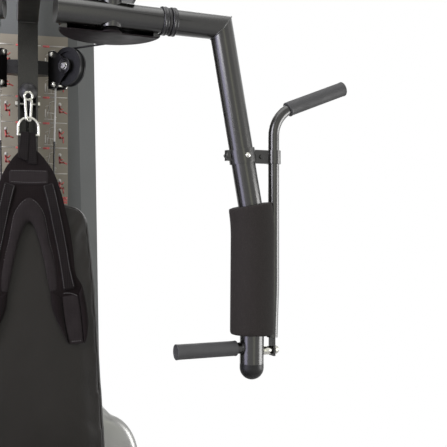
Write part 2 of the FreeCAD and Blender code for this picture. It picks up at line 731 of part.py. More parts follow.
def foam_pad():
    """The thick foam roll round the knee of the arm, following its bend."""
    corner, knee, foot = arm_leg_points()
    top = Vector(leg_reach_at(PAD_TOP_Z), 0, PAD_TOP_Z)
    share = (ARM_KNEE_Z - PAD_BOTTOM_Z) / (ARM_KNEE_Z - ARM_END_Z)
    bottom = knee + (foot - knee) * share
    knee_reach = ARM_KNEE_RADIUS * math.tan(leg_turn() / 2)
    along = corner.sub(knee).normalize()
    start = knee + along * max(knee.sub(top).Length, knee_reach + FACE_GAP)
    path = bent_path([start, knee, bottom], [ARM_KNEE_RADIUS])
    roll = swept(path, PAD_RADIUS, ARM_TUBE_RADIUS)
    handle = bent_path(handle_points()[:3], [HANDLE_KINK_RADIUS])
    return roll.cut(swept(handle, HANDLE_TUBE_RADIUS + FACE_GAP))


def leg_turn():
    corner, knee, foot = arm_leg_points()
    return knee.sub(corner).getAngle(foot.sub(knee))


def grip_sleeve(start, end):
    """A rubber grip closed at its far end, over a tube that stops short of it."""
    along = end.sub(start).normalize()
    bore_end = end - along * GRIP_END_WALL
    return rod(start, end, GRIP_RADIUS).cut(rod(start, bore_end, HANDLE_TUBE_RADIUS))


def lower_grip():
    outer = Vector(lower_grip_outer(), 0, LOWER_GRIP_Z)
    return grip_sleeve(outer, outer - SIDE * LOWER_GRIP_LENGTH)


def handle_points():
    rise = math.tan(math.radians(HANDLE_RISE_DEG))
    tip = Vector(HANDLE_TIP_REACH, 0, HANDLE_BEND_Z + (HANDLE_TIP_REACH - HANDLE_REACH) * rise)
    return [Vector(HANDLE_FOOT_REACH, 0, HANDLE_FOOT_Z), Vector(HANDLE_REACH, 0, HANDLE_KINK_Z),
            Vector(HANDLE_REACH, 0, HANDLE_BEND_Z), tip]


def handle_tab_inner():
    return HANDLE_FOOT_REACH - PLATE_THICKNESS / 2


def upper_handle():
    """The slim outer tube with a flattened foot tab and a hooked top that carries the high grip."""
    points = handle_points()
    last = points[-1] - handle_along() * GRIP_END_WALL
    path = bent_path(points[:-1] + [last], [HANDLE_KINK_RADIUS, HANDLE_BEND_RADIUS])
    tube = swept(path, HANDLE_TUBE_RADIUS)
    inner = handle_tab_inner()
    tab = block(inner, inner + PLATE_THICKNESS, -HANDLE_TUBE_RADIUS, HANDLE_TUBE_RADIUS,
                HANDLE_BOLT_Z - HANDLE_TUBE_RADIUS, HANDLE_FOOT_Z)
    hole = rod(Vector(inner, 0, HANDLE_BOLT_Z), Vector(inner + PLATE_THICKNESS, 0, HANDLE_BOLT_Z),
               BOLT_RADIUS)
    return joined([tube, tab]).cut(hole)


def handle_along():
    points = handle_points()
    return points[-1].sub(points[-2]).normalize()


def upper_grip():
    bend = handle_points()[-2]
    tip = handle_points()[-1]
    turn = math.radians(90 - HANDLE_RISE_DEG)
    start = bend + handle_along() * (HANDLE_BEND_RADIUS * math.tan(turn / 2))
    return grip_sleeve(start, tip)


def handle_bolt():
    """The bolt that holds the foot tab of the handle to the arm."""
    start = Vector(ARM_FOOT_REACH + ARM_BORE_RADIUS, 0, HANDLE_BOLT_Z)
    end = Vector(handle_tab_inner() + PLATE_THICKNESS, 0, HANDLE_BOLT_Z)
    return joined([rod(start, end, BOLT_RADIUS), hex_head(end, SIDE)])


def handle_strap():
    """A clamp band round the arm with a web that reaches the slim tube and wraps it."""
    z0 = STRAP_Z
    z1 = STRAP_Z + STRAP_HEIGHT
    centre = leg_reach_at((z0 + z1) / 2)
    lean = leg_reach_at(z0) - leg_reach_at(z1)
    along = Vector(lean, 0, -STRAP_HEIGHT).normalize()
    middle = Vector(centre, 0, (z0 + z1) / 2)
    half = along * (STRAP_HEIGHT / 2)
    band = rod(middle - half, middle + half, ARM_TUBE_RADIUS + STRAP_WALL)
    ear = block(centre - ARM_TUBE_RADIUS - STRAP_EAR, centre, -STRAP_EAR / 2, STRAP_EAR / 2,
                z0 + STRAP_WALL, z1 - STRAP_WALL)
    web = block(centre, HANDLE_REACH, -STRAP_WALL, STRAP_WALL, z0, z1)
    wrap = rod(Vector(HANDLE_REACH, 0, z0), Vector(HANDLE_REACH, 0, z1), HANDLE_TUBE_RADIUS + STRAP_WALL)
    body = joined([band, ear, web, wrap])
    arm_room = rod(middle - along * PAD_RADIUS * 2, middle + along * PAD_RADIUS * 2, ARM_TUBE_RADIUS)
    tube_room = rod(Vector(HANDLE_REACH, 0, z0), Vector(HANDLE_REACH, 0, z1), HANDLE_TUBE_RADIUS)
    return body.cut(arm_room).cut(tube_room)


def strap_bolts():
    """Small bolts through the ear and the web of the clamp band."""
    z = STRAP_Z + STRAP_HEIGHT / 2
    centre = leg_reach_at(z)
    reach = STRAP_EAR / 2
    ear_u = centre - ARM_TUBE_RADIUS - STRAP_BOLT_REACH
    web_u = (centre + ARM_TUBE_RADIUS + HANDLE_REACH - HANDLE_TUBE_RADIUS) / 2
    heads = []
    for u, half in ((ear_u, reach), (web_u, STRAP_WALL)):
        for sign in (-1, 1):
            place = Vector(u, sign * half, z)
            heads.append(hex_head(place, BACK * sign, STRAP_BOLT_RADIUS, STRAP_BOLT_HEIGHT))
    return heads


# ---------------------------------------------------------------------------
# Pulleys and their brackets
# ---------------------------------------------------------------------------
def arm_cable_tangent():
    """Unit vector from the arm pulley toward the point where the cable meets the cam groove."""
    gap = Vector(ARM_PULLEY_X - PIVOT_X, ARM_PULLEY_Y - PIVOT_Y, 0)
    bearing = math.atan2(gap.y, gap.x) - math.acos(CAM_CABLE_RADIUS / gap.Length)
    return Vector(math.sin(bearing), -math.cos(bearing), 0)


def cam_cable_points():
    """The cable's end in the cam groove, and the corner of its bend round the groove to the pulley."""
    centre = Vector(PIVOT_X, PIVOT_Y, CAM_BOTTOM_Z + CAM_RIM / 2)
    along = arm_cable_tangent()
    leaves = math.atan2(along.x, -along.y)
    ends = math.radians(ARM_SWEEP_DEG + CAM_ANCHOR_DEG)
    half = (leaves - ends) / 2
    middle = ends + half
    bend = centre + Vector(math.cos(middle), math.sin(middle), 0) * (CAM_CABLE_RADIUS / math.cos(half))
    reach = CAM_CABLE_RADIUS * math.tan(half) + CABLE_RADIUS
    end = bend + Vector(math.sin(ends), -math.cos(ends), 0) * reach
    return end, bend


def arm_pulley_centre():
    return Vector(ARM_PULLEY_X, ARM_PULLEY_Y, ARM_PULLEY_Z)


def arm_pulley_axis():
    along = arm_cable_tangent()
    return Vector(along.y, -along.x, 0)


def arm_bracket():
    """Two cheeks and a web round the arm pulley, on a lug welded to the side of the post."""
    centre = arm_pulley_centre()
    along = arm_cable_tangent()
    axis = arm_pulley_axis()
    inner = PULLEY_WIDTH / 2 + PULLEY_SIDE_GAP
    outer = inner + PLATE_THICKNESS
    back = ARM_CHEEK_REACH
    low = ARM_CHEEK_LOW
    high = ARM_CHEEK_HIGH
    nose = ARM_CHEEK_NOSE
    shoulder = nose * math.sin(math.pi / 4)

    def at(w, z, side):
        return centre + along * w + UP * z + axis * side

    cheeks = []
    for side in (inner, -outer):
        outline = [at(-back, -low, side), at(-back, high, side), at(-ARM_CHEEK_TOP_REACH, high, side),
                   at(shoulder, shoulder, side), at(nose, 0, side), at(shoulder, -shoulder, side),
                   at(-ARM_CHEEK_FOOT_REACH, -low, side)]
        cheeks.append(prism(outline, axis * PLATE_THICKNESS))
    web = prism([at(-back, -low, -outer), at(-back, high, -outer), at(-back - PLATE_THICKNESS, high, -outer),
                 at(-back - PLATE_THICKNESS, -low, -outer)], axis * (2 * outer))
    root = at(-back - PLATE_THICKNESS, 0, 0)
    half = ARM_LUG_HALF
    lug = prism([Vector(POST_WIDTH / 2, root.y - half, -half), Vector(POST_WIDTH / 2, root.y + half, -half),
                 at(-back - PLATE_THICKNESS / 2, -half, -inner) - UP * ARM_PULLEY_Z,
                 at(-back - PLATE_THICKNESS / 2, -half, inner) - UP * ARM_PULLEY_Z], UP * (2 * half))
    lug.translate(UP * ARM_PULLEY_Z)
    body = joined(cheeks + [web, lug])
    for w, z, radius in arm_bracket_holes():
        body = body.cut(rod(at(w, z, -2 * outer), at(w, z, 2 * outer), radius))
    return body


def arm_bracket_holes():
    """Bolt places in the bracket: along the cheek, up from the axle, and hole radius."""
    return ((0, 0, BOLT_RADIUS), (-KEEPER_REACH, KEEPER_RISE, KEEPER_RADIUS),
            (-KEEPER_LOW_REACH, -KEEPER_DROP, KEEPER_RADIUS))


def arm_bracket_bolts():
    centre = arm_pulley_centre()
    along = arm_cable_tangent()
    axis = arm_pulley_axis()
    outer = PULLEY_WIDTH / 2 + PULLEY_SIDE_GAP + PLATE_THICKNESS
    bolts = []
    for w, z, radius in arm_bracket_holes():
        middle = centre + along * w + UP * z
        side = axis * outer
        bolts.append(through_bolt(middle + side, middle - side, radius, radius + BOLT_HEAD_LIP))
    return bolts


def equaliser_bracket():
    """A plate each side of the equaliser pulley, standing on the base beam behind the post."""
    plates = []
    half = PULLEY_WIDTH / 2 + PULLEY_SIDE_GAP
    width = BEAM_WIDTH / 2
    for y0 in (EQUALISER_Y - half - PLATE_THICKNESS, EQUALISER_Y + half):
        plate = block(-width / 2, width / 2, y0, y0 + PLATE_THICKNESS,
                      foot_top_z(), EQUALISER_Z + 2 * BOLT_HEAD_RADIUS)
        plates.append(plate.cut(rod(Vector(0, y0, EQUALISER_Z), Vector(0, y0 + PLATE_THICKNESS, EQUALISER_Z),
                                    BOLT_RADIUS)))
    foot = block(-width / 2, width / 2, POST_REAR_Y, EQUALISER_Y + half + PLATE_THICKNESS, foot_top_z(),
                 foot_top_z() + PLATE_THICKNESS)
    return joined(plates + [foot])


def foot_top_z():
    return BEAM_TOP_Z + PLATE_THICKNESS


def equaliser_bolt():
    half = PULLEY_WIDTH / 2 + PULLEY_SIDE_GAP + PLATE_THICKNESS
    start = Vector(0, EQUALISER_Y - half, EQUALISER_Z)
    end = Vector(0, EQUALISER_Y + half, EQUALISER_Z)
    return joined([rod(start, end, BOLT_RADIUS), hex_head(start, -BACK, BOLT_HEAD_RADIUS, BOLT_HEAD_THIN),
                   hex_head(end, BACK, BOLT_HEAD_RADIUS, BOLT_HEAD_THIN)])


def ab_pulley_bolt():
    x = POST_WIDTH / 2
    return through_bolt(Vector(-x, AB_PULLEY_Y, AB_PULLEY_Z), Vector(x, AB_PULLEY_Y, AB_PULLEY_Z))


def leg_pivot_bolt():
    x = POST_WIDTH / 2 + PLATE_THICKNESS
    return through_bolt(Vector(-x, LEG_PIVOT_Y, LEG_PIVOT_Z), Vector(x, LEG_PIVOT_Y, LEG_PIVOT_Z))


# ---------------------------------------------------------------------------
# Cables, each a straight pull between pulleys with an arc of the groove's size on each wheel
# ---------------------------------------------------------------------------
def butterfly_cable():
    """From the right cam over its pulley, round the equaliser and up to the left cam."""
    start, bend = cam_cable_points()
    centre = arm_pulley_centre()
    along = arm_cable_tangent()
    run = bend.sub(centre).dot(along)
    rise = bend.z - centre.z
    lift = math.atan2(rise, run) + math.acos(GROOVE_RADIUS / math.hypot(run, rise))
    corner_height = GROOVE_RADIUS * (1 + math.cos(lift)) / math.sin(lift)
    corner = centre - along * GROOVE_RADIUS + UP * corner_height
    low = Vector(GROOVE_RADIUS, EQUALISER_Y, EQUALISER_Z - GROOVE_RADIUS)
    right = [start, bend, corner, low]
    left = [mirror_point(p) for p in reversed(right)]
    radii = [CAM_CABLE_RADIUS] + [GROOVE_RADIUS] * 4 + [CAM_CABLE_RADIUS]
    print("butterfly cable arcs, mm:", radii)
    return swept(bent_path(right + left, radii), CABLE_RADIUS)


def mirror_point(point):
    return Vector(-point.x, point.y, point.z)


def lat_cable():
    """From the lat hook up into the boom, back over the rear pulley and down to the selector stem."""
    points = [Vector(0, LAT_LINE_Y, LAT_HOOK_Z), Vector(0, LAT_LINE_Y, LAT_CABLE_Z),
              Vector(0, STACK_Y, LAT_CABLE_Z), Vector(0, STACK_Y, stem_top_z())]
    print("lat cable arcs, mm:", [GROOVE_RADIUS] * 2)
    return swept(bent_path(points, [GROOVE_RADIUS] * 2), CABLE_RADIUS)


def ab_cable():
    """From the stop ball over the pulley in the post and down inside it."""
    start = Vector(0, BALL_Y + BALL_RADIUS - BALL_FLAT + SLIDE_GAP, BALL_Z)
    run = start.y - AB_PULLEY_Y
    rise = BALL_Z - AB_PULLEY_Z
    lift = math.atan2(rise, -run) + math.acos(SMALL_GROOVE_RADIUS / math.hypot(run, rise))
    corner_height = SMALL_GROOVE_RADIUS * (1 + math.cos(lift)) / math.sin(lift)
    corner = Vector(0, AB_PULLEY_Y + SMALL_GROOVE_RADIUS, AB_PULLEY_Z + corner_height)
    points = [start, corner, Vector(0, corner.y, foot_top_z())]
    print("ab cable arc, mm:", SMALL_GROOVE_RADIUS)
    return swept(bent_path(points, [SMALL_GROOVE_RADIUS]), CABLE_RADIUS)


# ---------------------------------------------------------------------------
# Weight stack
# ---------------------------------------------------------------------------
def plate_floor_z(index):
    return STACK_BASE_Z + index * PLATE_HEIGHT


def stack_top_z():
    return plate_floor_z(PLATE_COUNT)


def stem_top_z():
    return stack_top_z() + TOP_PLATE_HEIGHT + STEM_NECK


def rod_places():
    return [Vector(sign * ROD_SPACING / 2, STACK_Y, 0) for sign in (-1, 1)]


def weight_plate(z0, height):
    """One iron plate with a stem hole, two rod holes and a pin way from the back."""
    x = PLATE_WIDTH / 2
    y = PLATE_DEPTH / 2
    plate = block(-x, x, STACK_Y - y, STACK_Y + y, z0, z0 + height)
    plate = plate.cut(Part.makeCylinder(STEM_RADIUS + SLIDE_GAP, height, Vector(0, STACK_Y, z0)))
    for place in rod_places():
        plate = plate.cut(Part.makeCylinder(ROD_RADIUS + SLIDE_GAP, height, place + UP * z0))
    middle = Vector(0, STACK_Y, z0 + height / 2)
    return plate.cut(rod(middle, middle + BACK * y, PIN_RADIUS + RUNNING_FIT))


def plates(first, last):
    height = PLATE_HEIGHT - FACE_GAP
    return [weight_plate(plate_floor_z(i), height) for i in range(first, last)]


def lifted_from():
    return PLATE_COUNT - LIFTED_PLATE_COUNT


def lifted_plates():
    """The plates above the pin."""
    return group(plates(lifted_from(), PLATE_COUNT))


def top_plate():
    """The thick plate that the stem is fixed in."""
    x = PLATE_WIDTH / 2
    y = PLATE_DEPTH / 2
    z0 = stack_top_z()
    plate = block(-x, x, STACK_Y - y, STACK_Y + y, z0, z0 + TOP_PLATE_HEIGHT)
    plate = plate.cut(Part.makeCylinder(STEM_RADIUS, TOP_PLATE_HEIGHT, Vector(0, STACK_Y, z0)))
    for place in rod_places():
        plate = plate.cut(Part.makeCylinder(ROD_RADIUS + SLIDE_GAP, TOP_PLATE_HEIGHT, place + UP * z0))
    return plate


def selector_stem():
    """The bored stem that hangs in the stack, with a pin hole at each plate."""
    low = STACK_BASE_Z
    stem = Part.makeCylinder(STEM_RADIUS, stem_top_z() - low, Vector(0, STACK_Y, low))
    bore = Part.makeCylinder(STEM_BORE_RADIUS, stem_top_z() - low, Vector(0, STACK_Y, low))
    collar_foot = Vector(0, STACK_Y, stack_top_z() + TOP_PLATE_HEIGHT)
    collar = Part.makeCylinder(STEM_COLLAR_RADIUS, STEM_NECK / 2, collar_foot)
    stem = joined([stem, collar]).cut(bore)
    for i in range(PLATE_COUNT):
        z = plate_floor_z(i) + (PLATE_HEIGHT - FACE_GAP) / 2
        centre = Vector(0, STACK_Y, z)
        stem = stem.cut(rod(centre, centre + BACK * 2 * STEM_RADIUS, PIN_RADIUS + RUNNING_FIT))
    return stem


def selector_pin():
    z = plate_floor_z(lifted_from()) + (PLATE_HEIGHT - FACE_GAP) / 2
    start = Vector(0, STACK_Y + STEM_BORE_RADIUS + SLIDE_GAP, z)
    face = STACK_Y + PLATE_DEPTH / 2
    neck = Vector(0, face + PIN_NECK, z)
    shank = rod(start, neck, PIN_RADIUS)
    knob = rod(neck, neck + BACK * PIN_KNOB_LENGTH, PIN_KNOB_RADIUS)
    return joined([shank, knob])


def guide_rods():
    """Chromed tubes from the stack base to the bracket under the boom."""
    top = POST_TOP_Z - PLATE_THICKNESS
    low = UP * foot_top_z()
    return group([Part.makeCylinder(ROD_RADIUS, top - low.z, place + low) for place in rod_places()])


def guide_rod_bracket():
    """A plate under the boom that holds the rods, open round the rear pulley and its cable."""
    x = ROD_SPACING / 2 + 2 * ROD_RADIUS
    y0 = STACK_Y - 2 * ROD_RADIUS
    y1 = STACK_Y + 2 * ROD_RADIUS + PLATE_THICKNESS
    plate = block(-x, x, y0, y1, POST_TOP_Z - PLATE_THICKNESS, POST_TOP_Z)
    half = POST_WIDTH / 2 + SLIDE_GAP
    return plate.cut(block(-half, half, y0, STACK_Y + CHEEK_DROP, POST_TOP_Z - PLATE_THICKNESS, POST_TOP_Z))


def stack_base():
    """The cross plate on the base beam that carries the rods and buffers."""
    x = PLATE_WIDTH / 2 + STACK_BASE_LIP
    y = PLATE_DEPTH / 2 + STACK_BASE_LIP
    return block(-x, x, STACK_Y - y, STACK_Y + y, BEAM_TOP_Z, foot_top_z())


def stack_buffers():
    """Rubber rings round the rods that the lowest plate rests on."""
    height = STACK_BASE_Z - foot_top_z()
    rings = []
    for place in rod_places():
        ring = Part.makeCylinder(BUMPER_RADIUS, height, place + UP * foot_top_z())
        rings.append(ring.cut(Part.makeCylinder(ROD_RADIUS, height, place + UP * foot_top_z())))
    return rings


# ---------------------------------------------------------------------------
# Shroud, chart and lower housing
# ---------------------------------------------------------------------------
def shroud_outline(z, flat, half):
    """The bent sheet's section at a height: a flat front, a bevel and a side on each hand."""
    front = SHROUD_FRONT_Y
    bevel = front + SHROUD_BEVEL_DEPTH
    t = SHROUD_WALL
    outer = [(flat, front), (half, bevel), (half, SHROUD_REAR_Y)]
    inner = [(half - t, SHROUD_REAR_Y), (half - t, bevel + t / 2), (flat - t / 2, front + t)]
    right = [Vector(x, y, z) for x, y in outer + inner]
    left = [mirror_point(p) for p in reversed(right)]
    points = right + left
    return Part.makePolygon(points + [points[0]])


def shroud():
    """The tapered sheet-metal cover round the stack, closed by a top plate with cable and rod ways."""
    low = shroud_outline(SHROUD_BOTTOM_Z, SHROUD_FLAT_BOTTOM, SHROUD_HALF_BOTTOM)
    high = shroud_outline(SHROUD_TOP_Z, SHROUD_FLAT_TOP, SHROUD_HALF_TOP)
    wrap = Part.makeLoft([low, high], True, True)
    y0 = SHROUD_FRONT_Y
    y1 = y0 + SHROUD_BEVEL_DEPTH
    right = [Vector(x, y, SHROUD_TOP_Z) for x, y in
             ((SHROUD_FLAT_TOP, y0), (SHROUD_HALF_TOP, y1), (SHROUD_HALF_TOP, SHROUD_REAR_Y))]
    top = prism(right + [mirror_point(p) for p in reversed(right)], UP * SHROUD_WALL)
    for place in rod_places() + [Vector(0, STACK_Y, 0)]:
        top = top.cut(Part.makeCylinder(ROD_RADIUS + SLIDE_GAP, SHROUD_WALL, place + UP * SHROUD_TOP_Z))
    return joined([wrap, top])


def exercise_chart():
    """A thin printed panel on the shroud's front."""
    x = CHART_HALF_WIDTH
    return block(-x, x, SHROUD_FRONT_Y - CHART_THICKNESS, SHROUD_FRONT_Y, CHART_BOTTOM_Z, CHART_TOP_Z)


def housing_outline(inset):
    """Front view of the lower housing: upright sides that sweep in to the foot of the shroud."""
    z0 = foot_top_z()
    half = HOUSING_HALF_WIDTH - inset
    top = SHROUD_BOTTOM_Z - inset
    shoulder = SHROUD_BOTTOM_Z - HOUSING_SHOULDER
    inner = SHROUD_HALF_BOTTOM
    eighth = math.sin(math.pi / 4)
    middle = Vector(inner + (half - inner) * eighth, HOUSING_FRONT_Y, shoulder + (top - shoulder) * eighth)
    waist = Vector(half, HOUSING_FRONT_Y, shoulder)
    neck = Vector(inner, HOUSING_FRONT_Y, top)
    right = Part.Wire([
        Part.LineSegment(Vector(half, HOUSING_FRONT_Y, z0), waist).toShape(),
        Part.Arc(waist, middle, neck).toShape(),
        Part.LineSegment(neck, Vector(0, HOUSING_FRONT_Y, top)).toShape(),
    ])
    left = mirrored(right)
    foot = Part.LineSegment(Vector(-half, HOUSING_FRONT_Y, z0), Vector(half, HOUSING_FRONT_Y, z0)).toShape()
    return Part.Face(Part.Wire(Part.__sortEdges__(right.Edges + left.Edges + [foot])))


def lower_housing():
    """The moulded shell round the foot of the stack, open behind and below."""
    depth = SHROUD_REAR_Y - HOUSING_FRONT_Y
    shell = housing_outline(0).extrude(BACK * depth)
    room = housing_outline(SHROUD_WALL).extrude(BACK * depth)
    room.translate(BACK * SHROUD_WALL)
    shell = shell.cut(room)
    w = SHROUD_HALF_BOTTOM - SHROUD_WALL * 2
    y0 = SHROUD_FRONT_Y + SHROUD_WALL * 2
    return shell.cut(block(-w, w, y0, SHROUD_REAR_Y, SHROUD_BOTTOM_Z - 2 * SHROUD_WALL, SHROUD_BOTTOM_Z))


# ---------------------------------------------------------------------------
# Backrest, seat and leg developer
# ---------------------------------------------------------------------------
def backrest_pad():
    """A tall pad, wider at the hips, with rounded corners."""
    half_points = [(BACKREST_TOP_HALF, BACKREST_TOP_Z), (BACKREST_MID_HALF, BACKREST_MID_Z),
                   (BACKREST_BOTTOM_HALF, BACKREST_BOTTOM_Z)]
    y = BACKREST_FACE_Y
    right = [Vector(x, y, z) for x, z in half_points]
    points = right + [mirror_point(p) for p in reversed(right)]
    pad = prism(points, BACK * PAD_THICKNESS)
    corners = [e for e in pad.Edges if is_along(e, BACK) and abs(e.Vertexes[0].Z - BACKREST_MID_Z) > 1]
    return pad.makeFillet(BACKREST_CORNER_RADIUS, corners)


def is_along(edge, direction):
    if not isinstance(edge.Curve, Part.Line):
        return False
    return abs(edge.tangentAt(edge.FirstParameter).dot(direction)) > 0.999


def backrest_brackets():
    """Two box arms bolted between the post and the back of the pad."""
    half = POST_WIDTH / 2
    arms = []
    for z in BRACKET_Z:
        arm = block(-half, half, BACKREST_REAR_Y + PLATE_THICKNESS, POST_FRONT_Y, z, z + POST_WIDTH)
        inside = half - TUBE_WALL
        arm = arm.cut(block(-inside, inside, BACKREST_REAR_Y + PLATE_THICKNESS, POST_FRONT_Y,
                            z + TUBE_WALL, z + POST_WIDTH - TUBE_WALL))
        plate = block(-2 * half, 2 * half, BACKREST_REAR_Y, BACKREST_REAR_Y + PLATE_THICKNESS,
                      z - half, z + 3 * half)
        arms.append(joined([arm, plate]))
    return arms


def seat_pad():
    """A cushion that narrows toward the knees."""
    z = SEAT_TOP_Z - PAD_THICKNESS
    w = SEAT_HALF_WIDTH
    right = [Vector(w, SEAT_REAR_Y, z), Vector(w, SEAT_REAR_Y - SEAT_TAPER_START, z),
             Vector(SEAT_FRONT_HALF, SEAT_FRONT_Y, z)]
    points = right + [mirror_point(p) for p in reversed(right)]
    pad = prism(points, UP * PAD_THICKNESS)
    corners = [e for e in pad.Edges if is_along(e, UP) and
               abs(e.Vertexes[0].Y - (SEAT_REAR_Y - SEAT_TAPER_START)) > 1]
    return pad.makeFillet(SEAT_CORNER_RADIUS, corners)


def seat_post():
    """The sliding tube under the seat with its top plate."""
    top = SEAT_TOP_Z - PAD_THICKNESS
    size = SEAT_TUBE_SIZE - 2 * SLIDE_GAP
    low = SEAT_BEAM_Z - SEAT_SLEEVE_DROP + PLATE_THICKNESS
    tube = upright_tube(size, size, 0, SEAT_TUBE_Y, low, top - PLATE_THICKNESS)
    w = SEAT_PLATE_HALF
    plate = block(-w, w, SEAT_TUBE_Y - w, SEAT_TUBE_Y + w, top - PLATE_THICKNESS, top)
    return joined([tube, plate])


def seat_knob_z():
    return SEAT_BEAM_Z + BEAM_HEIGHT + SEAT_SLEEVE_RISE / 2


def seat_sleeve_outer():
    return SEAT_TUBE_SIZE / 2 + TUBE_WALL


def seat_frame():
    """The seat beam from the post, its front leg, the seat sleeve, knee bar and leg developer ears."""
    beam = long_tube(POST_WIDTH, BEAM_HEIGHT, SEAT_BEAM_FRONT_Y, POST_FRONT_Y, SEAT_BEAM_Z)
    front = SEAT_BEAM_FRONT_Y
    leg = upright_tube(POST_WIDTH, POST_WIDTH, 0, front + POST_WIDTH / 2, foot_top_z(), SEAT_BEAM_Z)
    half = FOOT_PLATE_SIZE / 2
    foot = block(-half, half, front, front + FOOT_PLATE_SIZE, BEAM_TOP_Z, foot_top_z())
    outer = 2 * seat_sleeve_outer()
    low = SEAT_BEAM_Z - SEAT_SLEEVE_DROP
    high = SEAT_BEAM_Z + BEAM_HEIGHT + SEAT_SLEEVE_RISE
    sleeve = block(-outer / 2, outer / 2, SEAT_TUBE_Y - outer / 2, SEAT_TUBE_Y + outer / 2, low, high)
    room = SEAT_TUBE_SIZE / 2
    inside = block(-room, room, SEAT_TUBE_Y - room, SEAT_TUBE_Y + room, low, high)
    ear_x = POST_WIDTH / 2
    ears = []
    for x0 in (-ear_x - PLATE_THICKNESS, ear_x):
        ears.append(prism([
            Vector(x0, SEAT_BEAM_FRONT_Y + POST_WIDTH, SEAT_BEAM_Z),
            Vector(x0, SEAT_BEAM_FRONT_Y + POST_WIDTH, SEAT_BEAM_Z + BEAM_HEIGHT),
            Vector(x0, KNEE_BAR_Y + KNEE_EAR, KNEE_BAR_Z + KNEE_EAR),
            Vector(x0, KNEE_BAR_Y - KNEE_EAR, KNEE_BAR_Z + KNEE_EAR),
            Vector(x0, LEG_PIVOT_Y - KNEE_EAR, LEG_PIVOT_Z),
            Vector(x0, LEG_PIVOT_Y, LEG_PIVOT_Z - KNEE_EAR),
        ], SIDE * PLATE_THICKNESS))
    reach = ROLLER_INNER_X + ROLLER_LENGTH
    knee = Vector(0, KNEE_BAR_Y, KNEE_BAR_Z)
    bar = rod(knee - SIDE * reach, knee + SIDE * reach, ROLLER_BAR_RADIUS)
    body = joined([beam, leg, foot, sleeve] + ears + [bar]).cut(inside)
    pin_way = rod(Vector(0, SEAT_TUBE_Y, seat_knob_z()), Vector(outer, SEAT_TUBE_Y, seat_knob_z()),
                  SEAT_SCREW_RADIUS + RUNNING_FIT)
    pivot = Vector(0, LEG_PIVOT_Y, LEG_PIVOT_Z)
    return body.cut(pin_way).cut(rod(pivot - SIDE * POST_WIDTH, pivot + SIDE * POST_WIDTH, BOLT_RADIUS))


def seat_knob():
    """The clamp knob whose screw bears on the seat tube and holds its height."""
    start = Vector(SEAT_TUBE_SIZE / 2 - SLIDE_GAP + FACE_GAP, SEAT_TUBE_Y, seat_knob_z())
    neck = Vector(seat_sleeve_outer() + FACE_GAP, SEAT_TUBE_Y, seat_knob_z())
    shank = rod(start, neck, SEAT_SCREW_RADIUS)
    near = neck + SIDE * PIN_NECK
    far = near + SIDE * PIN_KNOB_LENGTH
    stalk = rod(neck, near, SEAT_KNOB_STALK_RADIUS)
    grip = rod(near, far, SEAT_KNOB_RADIUS)
    for k in range(SEAT_KNOB_LOBES):
        a = 2 * math.pi * k / SEAT_KNOB_LOBES
        side = Vector(0, math.cos(a), math.sin(a)) * SEAT_KNOB_DIP_REACH
        grip = grip.cut(rod(near + side, far + side, SEAT_KNOB_DIP_RADIUS))
    return joined([shank, stalk, grip])


def foam_rollers(y, z):
    """A pair of foam rollers on a cross bar."""
    near = Vector(ROLLER_INNER_X, y, z)
    far = Vector(ROLLER_INNER_X + ROLLER_LENGTH, y, z)
    roller = hollow_rod(near, far, ROLLER_RADIUS, ROLLER_BAR_RADIUS)
    return both_sides([roller])


def leg_roller_z():
    return LEG_PIVOT_Z - LEG_LEVER_LENGTH


def leg_lever():
    """The swinging tube of the leg developer with its roller bar welded across its foot."""
    half = LEG_LEVER_WIDTH / 2
    size = LEG_LEVER_WIDTH
    tube = upright_tube(size, size, 0, LEG_PIVOT_Y, leg_roller_z() - half, LEG_PIVOT_Z + half)
    foot = Vector(0, LEG_PIVOT_Y, leg_roller_z())
    reach = SIDE * (ROLLER_INNER_X + ROLLER_LENGTH)
    bar = rod(foot - reach, foot + reach, ROLLER_BAR_RADIUS)
    pivot = Vector(0, LEG_PIVOT_Y, LEG_PIVOT_Z)
    bush_half = SIDE * (POST_WIDTH / 2 - PULLEY_SIDE_GAP)
    bush = rod(pivot - bush_half, pivot + bush_half, BOLT_HEAD_RADIUS)
    hole = rod(pivot - bush_half, pivot + bush_half, BOLT_RADIUS + RUNNING_FIT)
    return joined([tube, bar, bush]).cut(hole)


# ---------------------------------------------------------------------------
# Lat bar and abdominal harness
# ---------------------------------------------------------------------------
def lat_bar_z():
    return LAT_HOOK_Z - LAT_LINK_LENGTH


def lat_end_points(sign):
    drop = math.tan(math.radians(LAT_BAR_DROP_DEG))
    end_x = LAT_BAR_HALF
    bend = Vector(sign * LAT_BAR_BEND_X, LAT_LINE_Y, lat_bar_z())
    end = Vector(sign * end_x, LAT_LINE_Y, lat_bar_z() - (end_x - LAT_BAR_BEND_X) * drop)
    return bend, end


def lat_bar():
    """The wide bar with turned-down ends and the link that hangs it on its cable."""
    right_bend, right_end = lat_end_points(1)
    left_bend, left_end = lat_end_points(-1)
    path = bent_path([left_end, left_bend, right_bend, right_end], [LAT_BEND_RADIUS] * 2)
    bar = swept(path, LAT_BAR_RADIUS)
    top = Vector(0, LAT_LINE_Y, lat_swivel_z() + LAT_SWIVEL_BITE)
    stalk = rod(Vector(0, LAT_LINE_Y, lat_bar_z()), top, LAT_STALK_RADIUS)
    head = rod(top - UP * LAT_HEAD_HEIGHT, top, LAT_HEAD_RADIUS)
    return joined([bar, stalk, head])


def lat_swivel_z():
    """Underside of the link that the bar's stalk turns in."""
    return LAT_HOOK_Z - LAT_LINK_HEIGHT


